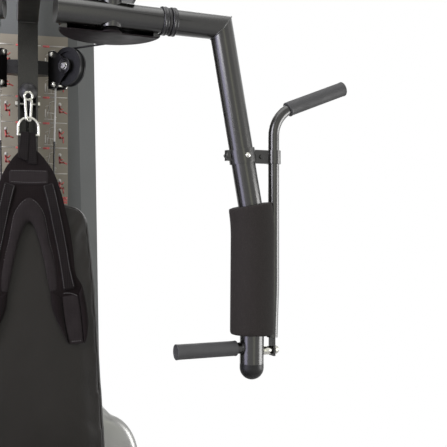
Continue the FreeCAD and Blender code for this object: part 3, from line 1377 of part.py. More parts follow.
def lat_link():
    """The swivel on the end of the lat cable: a bored barrel round the stalk's head."""
    foot = Vector(0, LAT_LINE_Y, lat_swivel_z())
    barrel = Part.makeCylinder(LAT_LINK_RADIUS, LAT_LINK_HEIGHT, foot)
    way = Part.makeCylinder(LAT_STALK_RADIUS + RUNNING_FIT, LAT_SWIVEL_BITE, foot)
    room_foot = foot + UP * (LAT_SWIVEL_BITE - LAT_HEAD_HEIGHT - FACE_GAP)
    room = Part.makeCylinder(LAT_HEAD_RADIUS + FACE_GAP, LAT_HEAD_HEIGHT + 2 * FACE_GAP, room_foot)
    return barrel.cut(way).cut(room)


def lat_grips():
    grips = []
    for sign in (-1, 1):
        bend, end = lat_end_points(sign)
        along = end.sub(bend).normalize()
        start = end - along * LAT_GRIP_LENGTH
        sleeve = rod(start, end + along * GRIP_END_WALL, GRIP_RADIUS).cut(rod(start, end, LAT_BAR_RADIUS))
        grips.append(sleeve)
    return group(grips)


def ball_stop():
    """The rubber ball that keeps the cable end out of the post, flat where the cable enters it."""
    ball = Part.makeSphere(BALL_RADIUS, Vector(0, BALL_Y, BALL_Z))
    flat = BALL_Y + BALL_RADIUS - BALL_FLAT
    return ball.cut(half_space(Vector(0, flat, BALL_Z), BACK, 2 * BALL_RADIUS))


def snap_hook():
    """A spring hook on the ball's shackle: a flat eye above a long loop that is turned edge-on."""
    y = hook_y()
    top = BALL_Z - HOOK_EYE_DROP
    eye = Part.makeTorus(HOOK_EYE_RADIUS, HOOK_WIRE, Vector(0, y, top), BACK)
    shackle = rod(Vector(0, BALL_Y, BALL_Z), Vector(0, y, top + HOOK_EYE_RADIUS), HOOK_WIRE)
    shackle = shackle.cut(Part.makeSphere(BALL_RADIUS, Vector(0, BALL_Y, BALL_Z)))
    low = hook_tip_z()
    wide = HOOK_TOP_HALF
    narrow = HOOK_TIP_HALF
    shoulder = top - HOOK_EYE_RADIUS
    loop = swept(bent_path([Vector(-wide, y, shoulder), Vector(-narrow, y, low), Vector(narrow, y, low),
                            Vector(wide, y, shoulder)], [HOOK_BEND, HOOK_BEND]), HOOK_WIRE)
    bridge = rod(Vector(-wide, y, shoulder), Vector(wide, y, shoulder), HOOK_WIRE)
    ends = [Part.makeSphere(HOOK_WIRE, Vector(sign * wide, y, shoulder)) for sign in (-1, 1)]
    loop = joined([loop, bridge] + ends)
    loop.rotate(Vector(0, y, top), UP, HOOK_TURN_DEG)
    return joined([eye, loop, shackle])


def hook_y():
    return BALL_Y - BALL_RADIUS - HOOK_WIRE - FACE_GAP


def hook_tip_z():
    return BALL_Z - HOOK_EYE_DROP - HOOK_LENGTH


def d_ring_top_z():
    return hook_tip_z() + HOOK_WIRE + D_RING_WIRE + FACE_GAP


def d_ring():
    """The welded steel ring at the top of the harness: a round arch over a straight bar."""
    y = hook_y()
    half = D_RING_HALF
    top = d_ring_top_z()
    low = HARNESS_TOP_Z + D_RING_WIRE + FACE_GAP
    corners = [Vector(-half, y, low), Vector(-half, y, top), Vector(half, y, top), Vector(half, y, low)]
    arch = swept(bent_path(corners, [D_RING_BEND, D_RING_BEND]), D_RING_WIRE)
    bar = rod(Vector(-half, y, low), Vector(half, y, low), D_RING_WIRE)
    ends = [Part.makeSphere(D_RING_WIRE, Vector(sign * half, y, low)) for sign in (-1, 1)]
    return joined([arch, bar] + ends)


def ab_harness():
    """The padded harness: a neck strap that splits round the head into two arms with hand loops."""
    depth = 2 * POST_FRONT_Y
    right = [Vector(x, -depth, z) for x, z in HARNESS_EDGE]
    points = right + [mirror_point(p) for p in reversed(right[:-1])]
    front_view = prism(points, BACK * (2 * depth))
    rear = BACKREST_FACE_Y - FACE_GAP
    front = rear - HARNESS_THICKNESS
    crease = BACKREST_TOP_Z + HARNESS_CREASE_RISE
    top_front = hook_y() - HARNESS_THICKNESS / 2
    outline = ((rear, HARNESS_BOTTOM_Z), (rear, crease), (top_front + HARNESS_THICKNESS, HARNESS_TOP_Z),
               (top_front, HARNESS_TOP_Z), (front, crease), (front, HARNESS_BOTTOM_Z))
    x = 2 * BACKREST_BOTTOM_HALF
    side_view = prism([Vector(-x, y, z) for y, z in outline], SIDE * (2 * x))
    return front_view.common(side_view)


# ---------------------------------------------------------------------------
# Write every piece
# ---------------------------------------------------------------------------
def frame_brackets():
    bracket = arm_bracket()
    return lat_pulley_cheeks() + backrest_brackets() + [
        bracket, mirrored(bracket), equaliser_bracket(), guide_rod_bracket(), stack_base(),
    ]


def frame_bolts():
    bolts = arm_bracket_bolts()
    return lat_pulley_bolts() + bolts + [mirrored(b) for b in bolts] + [
        ab_pulley_bolt(), equaliser_bolt(), leg_pivot_bolt(),
    ]


def tube_end_caps():
    return stabiliser_end_caps() + boom_end_caps() + carrier_end_caps()


def arm_pieces():
    """Every piece of one arm, still pointing along +X from a spindle at the origin."""
    return {
        "cam_sleeve": [cam_sleeve()],
        "collar_rings": [collar_piece(i) for i in range(3)],
        "arm_tube": [arm_tube()],
        "arm_end_cap": [arm_end_cap()],
        "foam_pad": [foam_pad()],
        "hand_grips": [lower_grip(), upper_grip()],
        "upper_handle": [upper_handle()],
        "handle_clamp": [handle_strap(), handle_bolt()] + strap_bolts(),
    }


def write_frame():
    save("base_beam", base_beam())
    front_bar = stabiliser(FRONT_STABILISER_LENGTH, -1)
    save("stabilisers", group([front_bar, stabiliser(REAR_STABILISER_LENGTH, 1)]))
    save("tube_end_caps", group(tube_end_caps()))
    save("rubber_feet", group(rubber_feet() + stack_buffers()))
    save("front_post", front_post())
    save("rear_upright", rear_upright())
    save("top_boom", top_boom())
    save("frame_brackets", group(frame_brackets()))
    save("frame_bolts", group(frame_bolts()))
    save("arm_carrier", arm_carrier())
    save("pivot_spindles", pivot_spindles())
    save("guide_rods", guide_rods())
    save("shroud", shroud())
    save("exercise_chart", exercise_chart())
    save("lower_housing", lower_housing())
    save("backrest_pad", backrest_pad())
    save("seat_frame", seat_frame())
    save("upper_foam_rollers", foam_rollers(KNEE_BAR_Y, KNEE_BAR_Z))


def write_pulleys():
    right = pulley(arm_pulley_centre(), arm_pulley_axis())
    save("arm_pulley_right", right)
    save("arm_pulley_left", mirrored(right))
    ab_centre = Vector(0, AB_PULLEY_Y, AB_PULLEY_Z)
    save("ab_pulley", pulley(ab_centre, SIDE, SMALL_PULLEY_RADIUS, SMALL_PULLEY_WIDTH))
    save("lat_front_pulley", pulley(Vector(0, LAT_PULLEY_Y, LAT_PULLEY_Z), SIDE))
    save("lat_rear_pulley", pulley(Vector(0, REAR_PULLEY_Y, LAT_PULLEY_Z), SIDE))
    save("equaliser_pulley", pulley(Vector(0, EQUALISER_Y, EQUALISER_Z), BACK))
    save("butterfly_cable", butterfly_cable())
    save("lat_cable", lat_cable())
    save("ab_cable", ab_cable())


def write_arms():
    for name, solids in arm_pieces().items():
        right = [set_on_spindle(s) for s in solids]
        save(name + "_right", group(right) if len(right) > 1 else right[0])
        left = [mirrored(s) for s in right]
        save(name + "_left", group(left) if len(left) > 1 else left[0])


def write_stations():
    save("resting_plates", group(plates(0, lifted_from())))
    save("lifted_plates", lifted_plates())
    save("top_plate", top_plate())
    save("selector_stem", selector_stem())
    save("selector_pin", selector_pin())
    save("ball_stop", ball_stop())
    save("snap_hook", snap_hook())
    save("d_ring", d_ring())
    save("ab_harness", ab_harness())
    save("seat_pad", seat_pad())
    save("seat_post", seat_post())
    save("seat_knob", seat_knob())
    save("leg_lever", leg_lever())
    save("lower_foam_rollers", foam_rollers(LEG_PIVOT_Y, leg_roller_z()))
    save("lat_link", lat_link())
    save("lat_bar", lat_bar())
    save("lat_grips", lat_grips())


os.makedirs("parts", exist_ok=True)
write_frame()
write_pulleys()
write_arms()
write_stations()
print(len(written), "nodes written")
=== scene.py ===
import math

import bmesh
import bpy
import numpy as np
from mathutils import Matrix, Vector


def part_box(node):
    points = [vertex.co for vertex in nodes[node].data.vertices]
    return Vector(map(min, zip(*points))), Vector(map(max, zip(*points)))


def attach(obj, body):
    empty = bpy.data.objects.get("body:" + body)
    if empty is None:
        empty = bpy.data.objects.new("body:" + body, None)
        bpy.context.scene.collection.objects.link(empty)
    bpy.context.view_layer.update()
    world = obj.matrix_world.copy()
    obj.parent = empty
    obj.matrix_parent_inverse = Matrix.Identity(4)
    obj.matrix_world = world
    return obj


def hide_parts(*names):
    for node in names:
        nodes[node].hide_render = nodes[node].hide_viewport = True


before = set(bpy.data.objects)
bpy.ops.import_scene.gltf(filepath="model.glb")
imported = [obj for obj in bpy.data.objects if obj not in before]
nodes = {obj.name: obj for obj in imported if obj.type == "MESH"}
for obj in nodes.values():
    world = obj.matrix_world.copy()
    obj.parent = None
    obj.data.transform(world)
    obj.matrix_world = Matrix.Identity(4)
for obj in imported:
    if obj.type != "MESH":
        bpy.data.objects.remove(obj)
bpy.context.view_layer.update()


# ------------------------------------------------------------
# Camera: stands in front and a little to the left of the machine, level, at the chest of a standing person,
# and sees the upper right of it.
CAMERA_PLACE = (-0.034, -1.9114, 1.2)
CAMERA_TURN_DEG = -15.0
camera_data = bpy.data.cameras.new("camera")
camera_data.lens = 62.9
camera_data.sensor_width = 36.0
camera_data.shift_y = 0.0145
camera = bpy.data.objects.new("camera", camera_data)
camera.location = CAMERA_PLACE
camera.rotation_euler = (math.radians(90), 0, math.radians(CAMERA_TURN_DEG))
bpy.context.scene.collection.objects.link(camera)
bpy.context.scene.camera = camera
bpy.context.scene.view_settings.view_transform = "Standard"


# ------------------------------------------------------------
# Floor, background and lamps: a white studio with a big soft lamp to the left, a weak one to the right, one
# overhead and one behind, at the level where a colour shows about as it is written. Three more lamps light
# nothing by themselves: they only stand in the gloss of the tubes, as the white walls of a studio do.
def linear(hex_colour):
    """A colour written as sRGB hex, as the linear red, green, blue and alpha that a shader takes."""
    c = np.array([int(hex_colour[i:i + 2], 16) for i in (1, 3, 5)]) / 255
    c = np.where(c <= 0.04045, c / 12.92, ((c + 0.055) / 1.055) ** 2.4)
    return (float(c[0]), float(c[1]), float(c[2]), 1.0)


def feed(node, inputs):
    """Gives a node's sockets their values, or what feeds them: a socket, or a node for its first output."""
    for name, value in inputs.items():
        if isinstance(value, bpy.types.Node):
            value = value.outputs[0]
        if isinstance(value, bpy.types.NodeSocket):
            node.id_data.links.new(value, node.inputs[name])
        else:
            node.inputs[name].default_value = value
    return node


def add(tree, kind, inputs=None, **settings):
    """Adds a node: settings are its properties, and inputs are fed to its sockets."""
    node = tree.nodes.new("ShaderNode" + kind)
    for name, value in settings.items():
        setattr(node, name, value)
    return feed(node, inputs or {})


def white_to_eye(tree, lit):
    """Camera, glossy and transmission rays see plain white, and all other rays see the lit shader."""
    path = add(tree, "LightPath").outputs
    seen = add(tree, "Math", {0: path["Is Camera Ray"], 1: path["Is Glossy Ray"]}, operation="MAXIMUM")
    seen = add(tree, "Math", {0: seen, 1: path["Is Transmission Ray"]}, operation="MAXIMUM")
    white = add(tree, "Background" if lit.bl_idname == "ShaderNodeBackground" else "Emission",
                {"Color": linear("#ffffff"), "Strength": 1.0})
    return add(tree, "MixShader", {0: seen, 1: lit, 2: white})


world = bpy.data.worlds.new("studio")
world.use_nodes = True
world.node_tree.nodes.clear()
air = add(world.node_tree, "Background", {"Color": linear("#f4f4f6"), "Strength": 0.36})
add(world.node_tree, "OutputWorld", {"Surface": white_to_eye(world.node_tree, air)})
bpy.context.scene.world = world

FLOOR_HALF = 14.0
FLOOR_PLAIN_FROM, FLOOR_PLAIN_TO = 1.4, 2.6
floor_mesh = bpy.data.meshes.new("floor")
floor_corners = [(x * FLOOR_HALF, y * FLOOR_HALF, 0) for x, y in ((-1, -1), (1, -1), (1, 1), (-1, 1))]
floor_mesh.from_pydata(floor_corners, [], [(0, 1, 2, 3)])
floor = bpy.data.objects.new("floor", floor_mesh)
bpy.context.scene.collection.objects.link(floor)
floor_paint = bpy.data.materials.new("white studio floor")
floor_paint.use_nodes = True
floor_tree = floor_paint.node_tree
floor_tree.nodes.clear()
floor_place = add(floor_tree, "TexCoord").outputs["Object"]
floor_grain = add(floor_tree, "TexNoise", {"Vector": floor_place, "Scale": 0.8})
floor_tone = add(floor_tree, "Mix", {0: floor_grain, 6: linear("#efefef"), 7: linear("#f7f7f7")},
                 data_type="RGBA")
floor_shader = add(floor_tree, "BsdfPrincipled", {"Base Color": floor_tone.outputs[2], "Roughness": 0.9,
                                                  "Specular IOR Level": 0.1})
floor_far = add(floor_tree, "VectorMath", {0: floor_place}, operation="LENGTH").outputs["Value"]
floor_far = add(floor_tree, "MapRange", {"Value": floor_far, "From Min": FLOOR_PLAIN_FROM,
                                         "From Max": FLOOR_PLAIN_TO}, interpolation_type="SMOOTHSTEP")
floor_sweep = add(floor_tree, "MixShader", {0: floor_far, 1: floor_shader,
                                            2: white_to_eye(floor_tree, floor_shader)})
add(floor_tree, "OutputMaterial", {"Surface": floor_sweep})
floor_mesh.materials.append(floor_paint)
LAMP_TARGET = Vector((0.0, 0.0, 1.2))


def lamp(name, place, size, power, colour="#ffffff", shine_only=False):
    """A rectangular soft lamp, aimed at the gym's middle. One for shine only is seen in glossy surfaces."""
    data = bpy.data.lights.new(name, "AREA")
    data.shape = "RECTANGLE"
    data.size, data.size_y = size
    data.energy = power
    data.color = linear(colour)[:3]
    thing = bpy.data.objects.new(name, data)
    thing.location = place
    thing.rotation_euler = (LAMP_TARGET - Vector(place)).to_track_quat("-Z", "Y").to_euler()
    thing.visible_diffuse = not shine_only
    bpy.context.scene.collection.objects.link(thing)


lamp("left softbox", (-2.6, -2.2, 2.6), (1.6, 2.6), 125, "#f6f5ff")
lamp("right softbox", (3.0, -1.2, 2.2), (1.2, 2.8), 4, "#fffaf2")
lamp("left shine", (-2.6, -0.95, 1.35), (1.6, 2.6), 52, "#dcd8ff", shine_only=True)
lamp("front shine", (0.8, -3.6, 1.4), (0.9, 3.0), 11, "#eef0cc", shine_only=True)
lamp("right shine", (3.3, -0.7, 0.95), (1.7, 1.5), 64, shine_only=True)
lamp("overhead", (0.0, -0.6, 4.2), (3.0, 2.4), 46)
lamp("back light", (0.8, 3.4, 2.6), (2.4, 2.4), 32)


# ------------------------------------------------------------
# Frame: square and round steel tubes, plates and brackets, welded and then coated with an anthracite powder
# that has a fine metal flake. The coat is satin, a little thinner and paler over sharp edges, and it flows
# out smoother and glossier on the round tubes of the arms.
def new_material(name, colour, roughness, **even):
    """A material with one Principled shader, whose even values are set on its own sockets."""
    made = bpy.data.materials.new(name)
    made.use_nodes = True
    shader = made.node_tree.nodes["Principled BSDF"]
    feed(shader, {"Base Color": linear(colour), "Roughness": roughness})
    feed(shader, {socket.replace("_", " "): value for socket, value in even.items()})
    return made, made.node_tree, shader


def at_size(tree, millimetres):
    """Scale of a texture whose cells are that many millimetres across, and the coordinates that it reads."""
    return {"Vector": add(tree, "TexCoord").outputs["Object"], "Scale": 1000.0 / millimetres}


def finish_node(material, *names):
    """Puts a material on CAD nodes whose shape stays."""
    for name in names:
        mesh = nodes[name].data
        mesh.materials.clear()
        mesh.materials.append(material)


def edge_mask(tree, radius):
    """0 on flat and gently curved faces and 1 on sharp edges, from how far a rounded normal leans from the
    true one; also the rounded normal."""
    soft = add(tree, "Bevel", {"Radius": radius}, samples=4)
    true = add(tree, "NewGeometry")
    lean = add(tree, "VectorMath", {0: soft, 1: true.outputs["Normal"]}, operation="DOT_PRODUCT")
    mask = add(tree, "MapRange", {"Value": lean.outputs["Value"], "From Min": 0.995, "From Max": 0.86})
    return mask, soft


def dress(shader, colour, pale, share, relief, depth, strength, normal, cloud=None, spread=(0.0, 0.0)):
    """Joins patterns to a shader: the share mixes its colour with the pale one, and the relief rises by the
    depth over the normal. Where the cloud goes from 0.3 to 0.7, roughness goes over the spread about its
    own value."""
    tree = shader.id_data
    base = add(tree, "Mix", {0: share, 6: colour, 7: linear(pale)}, data_type="RGBA")
    bump = add(tree, "Bump", {"Height": relief, "Distance": depth, "Strength": strength, "Normal": normal})
    feed(shader, {"Base Color": base.outputs[2], "Normal": bump})
    if cloud is not None:
        least, most = (shader.inputs["Roughness"].default_value + change for change in spread)
        gloss = add(tree, "MapRange", {"Value": cloud, "From Min": 0.3, "From Max": 0.7, "To Min": least,
                                       "To Max": most})
        feed(shader, {"Roughness": gloss})


def powder_coat(name, colour, flake, worn, metallic=0.55, roughness=0.36, coat=0.25, specular=0.5,
                coat_ior=1.5):
    """Powder coat with 0.5 mm flake, drawn at 1.2 mm so that it shows, faint 4 mm orange peel and paler
    edges."""
    made, tree, shader = new_material(name, colour, roughness, Metallic=metallic, Coat_Weight=coat,
                                      Coat_Roughness=0.2, Coat_IOR=coat_ior, Specular_IOR_Level=specular)
    edge, rounded = edge_mask(tree, 0.0012)
    sparkle = add(tree, "TexVoronoi", at_size(tree, 1.2))
    speck = add(tree, "MapRange", {"Value": sparkle.outputs["Color"], "From Min": 0.6, "From Max": 1.0,
                                   "To Max": 0.35})
    base = add(tree, "Mix", {0: speck, 6: linear(colour), 7: linear(flake)}, data_type="RGBA")
    cloud = add(tree, "TexNoise", {**at_size(tree, 60.0), "Detail": 4.0})
    wear = add(tree, "Math", {0: edge, 1: cloud}, operation="MULTIPLY")
    peel = add(tree, "TexNoise", {**at_size(tree, 4.0), "Detail": 2.0})
    dress(shader, base.outputs[2], worn, wear, peel, 0.00012, 0.5, rounded, cloud, (-0.05, 0.06))
    return made


frame_coat = powder_coat("anthracite powder coat on square tube", "#2a2926", "#4e4c47", "#504f4a",
                         roughness=0.38)
finish_node(frame_coat, "base_beam", "stabilisers", "front_post", "rear_upright", "top_boom",
            "arm_carrier", "seat_frame", "seat_post", "leg_lever")
arm_coat = powder_coat("glossy anthracite powder coat on round tube", "#1a1916", "#3e3c37", "#504f4a",
                       roughness=0.3, coat=0.5, coat_ior=1.75)
for side in ("right", "left"):
    finish_node(arm_coat, "cam_sleeve_" + side, "arm_tube_" + side, "upper_handle_" + side,
                "handle_clamp_" + side)


# ------------------------------------------------------------
# Moulded parts: tube end caps, pulleys, arm end caps, clamp knob and selector pin knob, all injection-moulded
# black nylon with a fine spark-eroded grain.
def moulded(name, colour, rub, roughness, grain_mm=1.0, depth=0.00006, **even):
    """A moulded skin: fine grain, slow changes in gloss, and edges that are rubbed a little paler."""
    made, tree, shader = new_material(name, colour, roughness, **even)
    edge, rounded = edge_mask(tree, 0.0009)
    cloud = add(tree, "TexNoise", {**at_size(tree, 35.0), "Detail": 3.0})
    grain = add(tree, "TexNoise", {**at_size(tree, grain_mm), "Detail": 2.0})
    rubbed = add(tree, "Math", {0: edge, 1: cloud}, operation="MULTIPLY")
    dress(shader, linear(colour), rub, rubbed, grain, depth, 0.6, rounded, cloud, (-0.07, 0.07))
    return made


nylon = moulded("black moulded nylon", "#121212", "#2c2c2d", 0.42, Specular_IOR_Level=0.3)
finish_node(nylon, "tube_end_caps", "ab_pulley", "lat_front_pulley", "lat_rear_pulley", "equaliser_pulley",
            "arm_pulley_right", "arm_pulley_left", "seat_knob", "selector_pin", "arm_end_cap_right",
            "arm_end_cap_left")


# ------------------------------------------------------------
# Rubber: the feet under the stabilisers and the stop ball on the abdominal cable, moulded from black
# styrene-butadiene rubber with a dull skin that greys a little with dust.
foot_rubber = moulded("black rubber", "#1a1819", "#3a383a", 0.5, grain_mm=1.4, depth=0.0001)
finish_node(foot_rubber, "rubber_feet", "ball_stop")


# ------------------------------------------------------------
# Small steel parts: bolts, spring hook, ring, lat link and selector stem with bright zinc plating, which
# has an uneven, faintly yellow shine. The guide rods and the lat bar are satin chrome, and the spindles are
# blackened.
def plated(name, colour, roughness, stain):
    """Plated steel: a clean metal with cloudy gloss and a few dull stains."""
    made, tree, shader = new_material(name, colour, roughness, Metallic=1.0)
    cloud = add(tree, "TexNoise", {**at_size(tree, 8.0), "Detail": 4.0})
    dull = add(tree, "MapRange", {"Value": cloud, "From Min": 0.45, "From Max": 0.75, "To Max": 0.6})
    rounded = edge_mask(tree, 0.0006)[1]
    dress(shader, linear(colour), stain, dull, cloud, 0.00005, 0.3, rounded, cloud, (-0.04, 0.08))
    return made


zinc = plated("bright zinc plate on steel", "#c9c8c0", 0.26, "#9a988c")
finish_node(zinc, "frame_bolts", "snap_hook", "d_ring", "selector_stem", "lat_link")
finish_node(plated("satin chrome plate on steel", "#8e9093", 0.2, "#7c7e81"), "guide_rods", "lat_bar")
finish_node(plated("black oxide on steel", "#161515", 0.6, "#0f0e0e"), "pivot_spindles")


# ------------------------------------------------------------
# Cables: wire rope in a black PVC sleeve, pulled tight between the cams, pulleys and stack. The butterfly
# cable's sleeve is painted pale for a hand's length under each arm pulley: a painted highlight for its shine.
# Painted highlight: the heights between which the butterfly cable's sleeve is painted pale.
SHINE_TOP_Z, SHINE_END_Z = 1.600, 1.434
cable_sleeve, painted_shine_sleeve = (moulded(name, "#161616", "#2c2c2c", 0.3, grain_mm=2.0, depth=0.00003)
                           for name in ("black PVC cable sleeve", "black PVC cable sleeve with a painted highlight"))
finish_node(cable_sleeve, "lat_cable", "ab_cable")
shine_tree = painted_shine_sleeve.node_tree
cable_z = add(shine_tree, "SeparateXYZ", {0: add(shine_tree, "TexCoord").outputs["Object"]}).outputs["Z"]
below = add(shine_tree, "Math", {0: cable_z, 1: SHINE_TOP_Z}, operation="LESS_THAN")
above = add(shine_tree, "Math", {0: cable_z, 1: SHINE_END_Z}, operation="GREATER_THAN")
shine_band = add(shine_tree, "Math", {0: below, 1: above}, operation="MULTIPLY")
shine_shader = shine_tree.nodes["Principled BSDF"]
sleeve_colour = shine_shader.inputs["Base Color"].links[0].from_socket
# Painted highlight: between the two heights the sleeve's colour turns pale, in place of its shine.
painted_shine = add(shine_tree, "Mix", {0: shine_band, 6: sleeve_colour, 7: linear("#e6e4de")}, data_type="RGBA")
feed(shine_shader, {"Base Color": painted_shine.outputs[2]})
finish_node(painted_shine_sleeve, "butterfly_cable")


# ------------------------------------------------------------
# Weight plates: sand-cast iron, machined on the faces, stacked on the guide rods and dipped in black enamel
# that keeps the coarse grain of the casting and wears off the edges.
finish_node(moulded("black enamel on cast iron", "#1a1a1b", "#45423f", 0.48, grain_mm=3.0, depth=0.0003,
                    Coat_Weight=0.3, Coat_Roughness=0.3),
            "resting_plates", "lifted_plates", "top_plate")


# ------------------------------------------------------------
# Shroud: sheet steel folded round the stack and screwed to the upright, in a mid-grey powder coat that is
# duller than the frame's.
finish_node(powder_coat("grey powder coat on sheet steel", "#787a78", "#898c88", "#989998", metallic=0.05,
                        roughness=0.6, coat=0.0, specular=0.12), "shroud")


# ------------------------------------------------------------
# Weld beads: where the arm tube is mitred and where tubes stand on each other, an arc weld leaves a rippled
# bead, ground lightly and powder-coated with the frame.
ARM_PIVOT = (0.182, -0.106)
ARM_SWEEP = math.radians(9)
ARM_RADIUS = 0.030
ARM_CORNER = (0.276, 1.695)
ARM_KNEE = (0.363, 1.222)
ARM_FOOT = (0.360, 0.868)
LOWER_GRIP_Z = 0.908
LOWER_GRIP_TUBE = 0.014
WELD_SUNK = 0.0005
ARM_WELD, FRAME_WELD = 0.0015, 0.003
SIDES = (("right", 1), ("left", -1))


def arm_points(u, v, z, sign=1):
    """Places on an arm, given as reach out from its pivot, reach back and height: the arm leans back from X
    by the sweep, and the left arm mirrors the right."""
    u, v, z = np.broadcast_arrays(np.asarray(u, dtype=float), v, z)
    x = ARM_PIVOT[0] + u * math.cos(ARM_SWEEP) - v * math.sin(ARM_SWEEP)
    y = ARM_PIVOT[1] + u * math.sin(ARM_SWEEP) + v * math.cos(ARM_SWEEP)
    return np.stack([sign * x, y, z], axis=-1)


def new_piece(name, mesh, material, body):
    """An object for a finished mesh, with its material and the body that it rides on."""
    mesh.materials.clear()
    mesh.materials.append(material)
    piece = bpy.data.objects.new(name, mesh)
    bpy.context.scene.collection.objects.link(piece)
    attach(piece, body)
    return piece


def smooth_mesh(name, points, faces, join=0.0):
    """A smooth-shaded mesh whose faces point outwards. Points closer than the join distance are merged."""
    mesh = bpy.data.meshes.new(name)
    mesh.from_pydata(points.tolist(), [], faces)
    form = bmesh.new()
    form.from_mesh(mesh)
    if join:
        bmesh.ops.remove_doubles(form, verts=form.verts, dist=join)
    bmesh.ops.recalc_face_normals(form, faces=form.faces)
    form.to_mesh(mesh)
    form.free()
    mesh.shade_smooth()
    return mesh


def skin(name, grids, material, body, closed=False):
    """One piece made of skins, each over a grid of rings: a quad joins each two points of a ring to the next
    ring's, and an open skin's end rings are closed with a fan to their middle."""
    points, faces, done = [], [], 0
    for rings in grids:
        count, sides = rings.shape[:2]
        index = done + np.arange(count * sides).reshape(count, sides)
        low, high = (index, np.roll(index, -1, axis=0)) if closed else (index[:-1], index[1:])
        turned_low, turned_high = np.roll(low, -1, axis=1), np.roll(high, -1, axis=1)
        faces += np.stack([low, turned_low, turned_high, high], axis=-1).reshape(-1, 4).tolist()
        points.append(rings.reshape(-1, 3))
        done += count * sides
        if not closed:
            for ring in (0, -1):
                points.append(rings[ring].mean(axis=0, keepdims=True))
                rim = index[ring]
                faces += np.stack([rim, np.roll(rim, -1), np.full(sides, done)], axis=-1).tolist()
                done += 1
    return new_piece(name, smooth_mesh(name, np.concatenate(points), faces), material, body)


def unit(way):
    """Vectors of length 1, along the last axis."""
    way = np.asarray(way, dtype=float)
    return way / np.linalg.norm(way, axis=-1, keepdims=True)


def full_turn(count):
    """Even angles round a full turn."""
    return np.linspace(0, 2 * math.pi, count, endpoint=False)


def tube_rings(line, radius, across, sides, closed=False):
    """Rings of a tube along a line: the first axis of a ring is the line's direction crossed with across,
    the second is square to both, and angle a gives the line's point + radius * (cos a * first + sin a *
    second)."""
    line = np.asarray(line, dtype=float)
    along = np.roll(line, -1, axis=0) - np.roll(line, 1, axis=0)
    if not closed:
        along[0], along[-1] = line[1] - line[0], line[-1] - line[-2]
    first = unit(np.cross(along, across))
    second = unit(np.cross(first, along))
    angle = full_turn(sides)[None, :, None]
    radius = np.broadcast_to(np.asarray(radius, dtype=float), len(line))[:, None, None]
    return line[:, None] + radius * (np.cos(angle) * first[:, None] + np.sin(angle) * second[:, None])


def weld_bead(middle, first, second, length, girth, power=2, step=0.0011, pitch=0.0022, share=0.16):
    """Rings of a weld round a joint: a superellipse about middle with half axes first and second, at 1 /
    (|cos a|^power + |sin a|^power)^(1 / power) of them, so a power of 2 goes round a round tube. Its girth
    swells by a share with the sine of the way round, once in each pitch of the ripples."""
    middle, first, second = (np.asarray(value, dtype=float) for value in (middle, first, second))
    angle = full_turn(int(length / step))
    cosine, sine = np.cos(angle), np.sin(angle)
    out = (np.abs(cosine) ** power + np.abs(sine) ** power) ** (-1 / power)
    line = middle + (out * cosine)[:, None] * first + (out * sine)[:, None] * second
    swell = girth * (1 + share * np.sin(angle * round(length / pitch)))
    return tube_rings(line, swell, np.cross(first, second), 6, closed=True)


corner = np.array([ARM_CORNER[0], 0.0, ARM_CORNER[1]])
leg_way = unit([ARM_KNEE[0] - ARM_CORNER[0], 0.0, ARM_KNEE[1] - ARM_CORNER[1]])
mitre = unit(np.array([1.0, 0.0, 0.0]) - leg_way)
mitre_reach = ARM_RADIUS / abs(np.cross(mitre, [1.0, 0.0, 0.0])[1])
grip_joint = np.array([ARM_FOOT[0] - ARM_RADIUS + WELD_SUNK, 0, LOWER_GRIP_Z])
for side, sign in SIDES:
    beads = []
    for middle, first, second in ((corner, mitre * mitre_reach, (0, ARM_RADIUS, 0)),
                                  (grip_joint, (0, LOWER_GRIP_TUBE, 0), (0, 0, LOWER_GRIP_TUBE))):
        at, *ends = (arm_points(*place, sign) for place in (middle, middle + first, middle + second))
        beads.append(weld_bead(at, ends[0] - at, ends[1] - at, 2 * math.pi * ARM_RADIUS, ARM_WELD))
    skin("arm_welds_" + side, beads, arm_coat, "arm_" + side, closed=True)


def corners_of(node):
    """The lowest and the highest corner of a CAD node's box."""
    return [np.array(corner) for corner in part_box(node)]


CARRIER_SIZE = 0.050
POST_HALF_WIDTH, POST_HALF_DEPTH = 0.025, 0.0375
POST_FRONT_Y = 0.150
FOOT_PLATE = 0.008
_, carrier_front_y, carrier_low_z = corners_of("arm_carrier")[0]
strut_z = carrier_low_z + CARRIER_SIZE / 2
foot_z = corners_of("base_beam")[1][2] + FOOT_PLATE
frame_beads = []
for y, z, half in ((POST_FRONT_Y, strut_z, (0, 0, CARRIER_SIZE / 2)),
                   (carrier_front_y + CARRIER_SIZE, strut_z, (0, 0, CARRIER_SIZE / 2)),
                   (POST_FRONT_Y + POST_HALF_DEPTH, foot_z, (0, POST_HALF_DEPTH, 0))):
    frame_beads.append(weld_bead((0, y, z), (POST_HALF_WIDTH, 0, 0), half, 4 * (POST_HALF_WIDTH + max(half)),
                                 FRAME_WELD, power=8, step=0.0013, pitch=0.0028, share=0.15))
skin("frame_welds", frame_beads, frame_coat, "frame", closed=True)


# ------------------------------------------------------------
# Pads: the backrest and the seat are plywood boards under thick foam, pulled over with black vinyl that is
# stapled behind. The foam crowns the face, and a welt is sewn into the seam round it.
def reshape(piece, name, kind, **settings):
    """Puts a modifier on a piece and makes the result its mesh."""
    step = piece.modifiers.new(name, kind)
    for setting, value in settings.items():
        setattr(step, setting, value)
    seen = piece.evaluated_get(bpy.context.evaluated_depsgraph_get())
    mesh = bpy.data.meshes.new_from_object(seen)
    mesh.name = piece.name
    piece.modifiers.clear()
    piece.data = mesh


def points_of(piece):
    """A piece's points, as rows of x, y and z."""
    flat = np.empty(len(piece.data.vertices) * 3)
    piece.data.vertices.foreach_get("co", flat)
    return flat.reshape(-1, 3)


def set_points(piece, points):
    """Moves a piece's points to rows of x, y and z."""
    piece.data.vertices.foreach_set("co", np.asarray(points, dtype=float).ravel())
    piece.data.update()


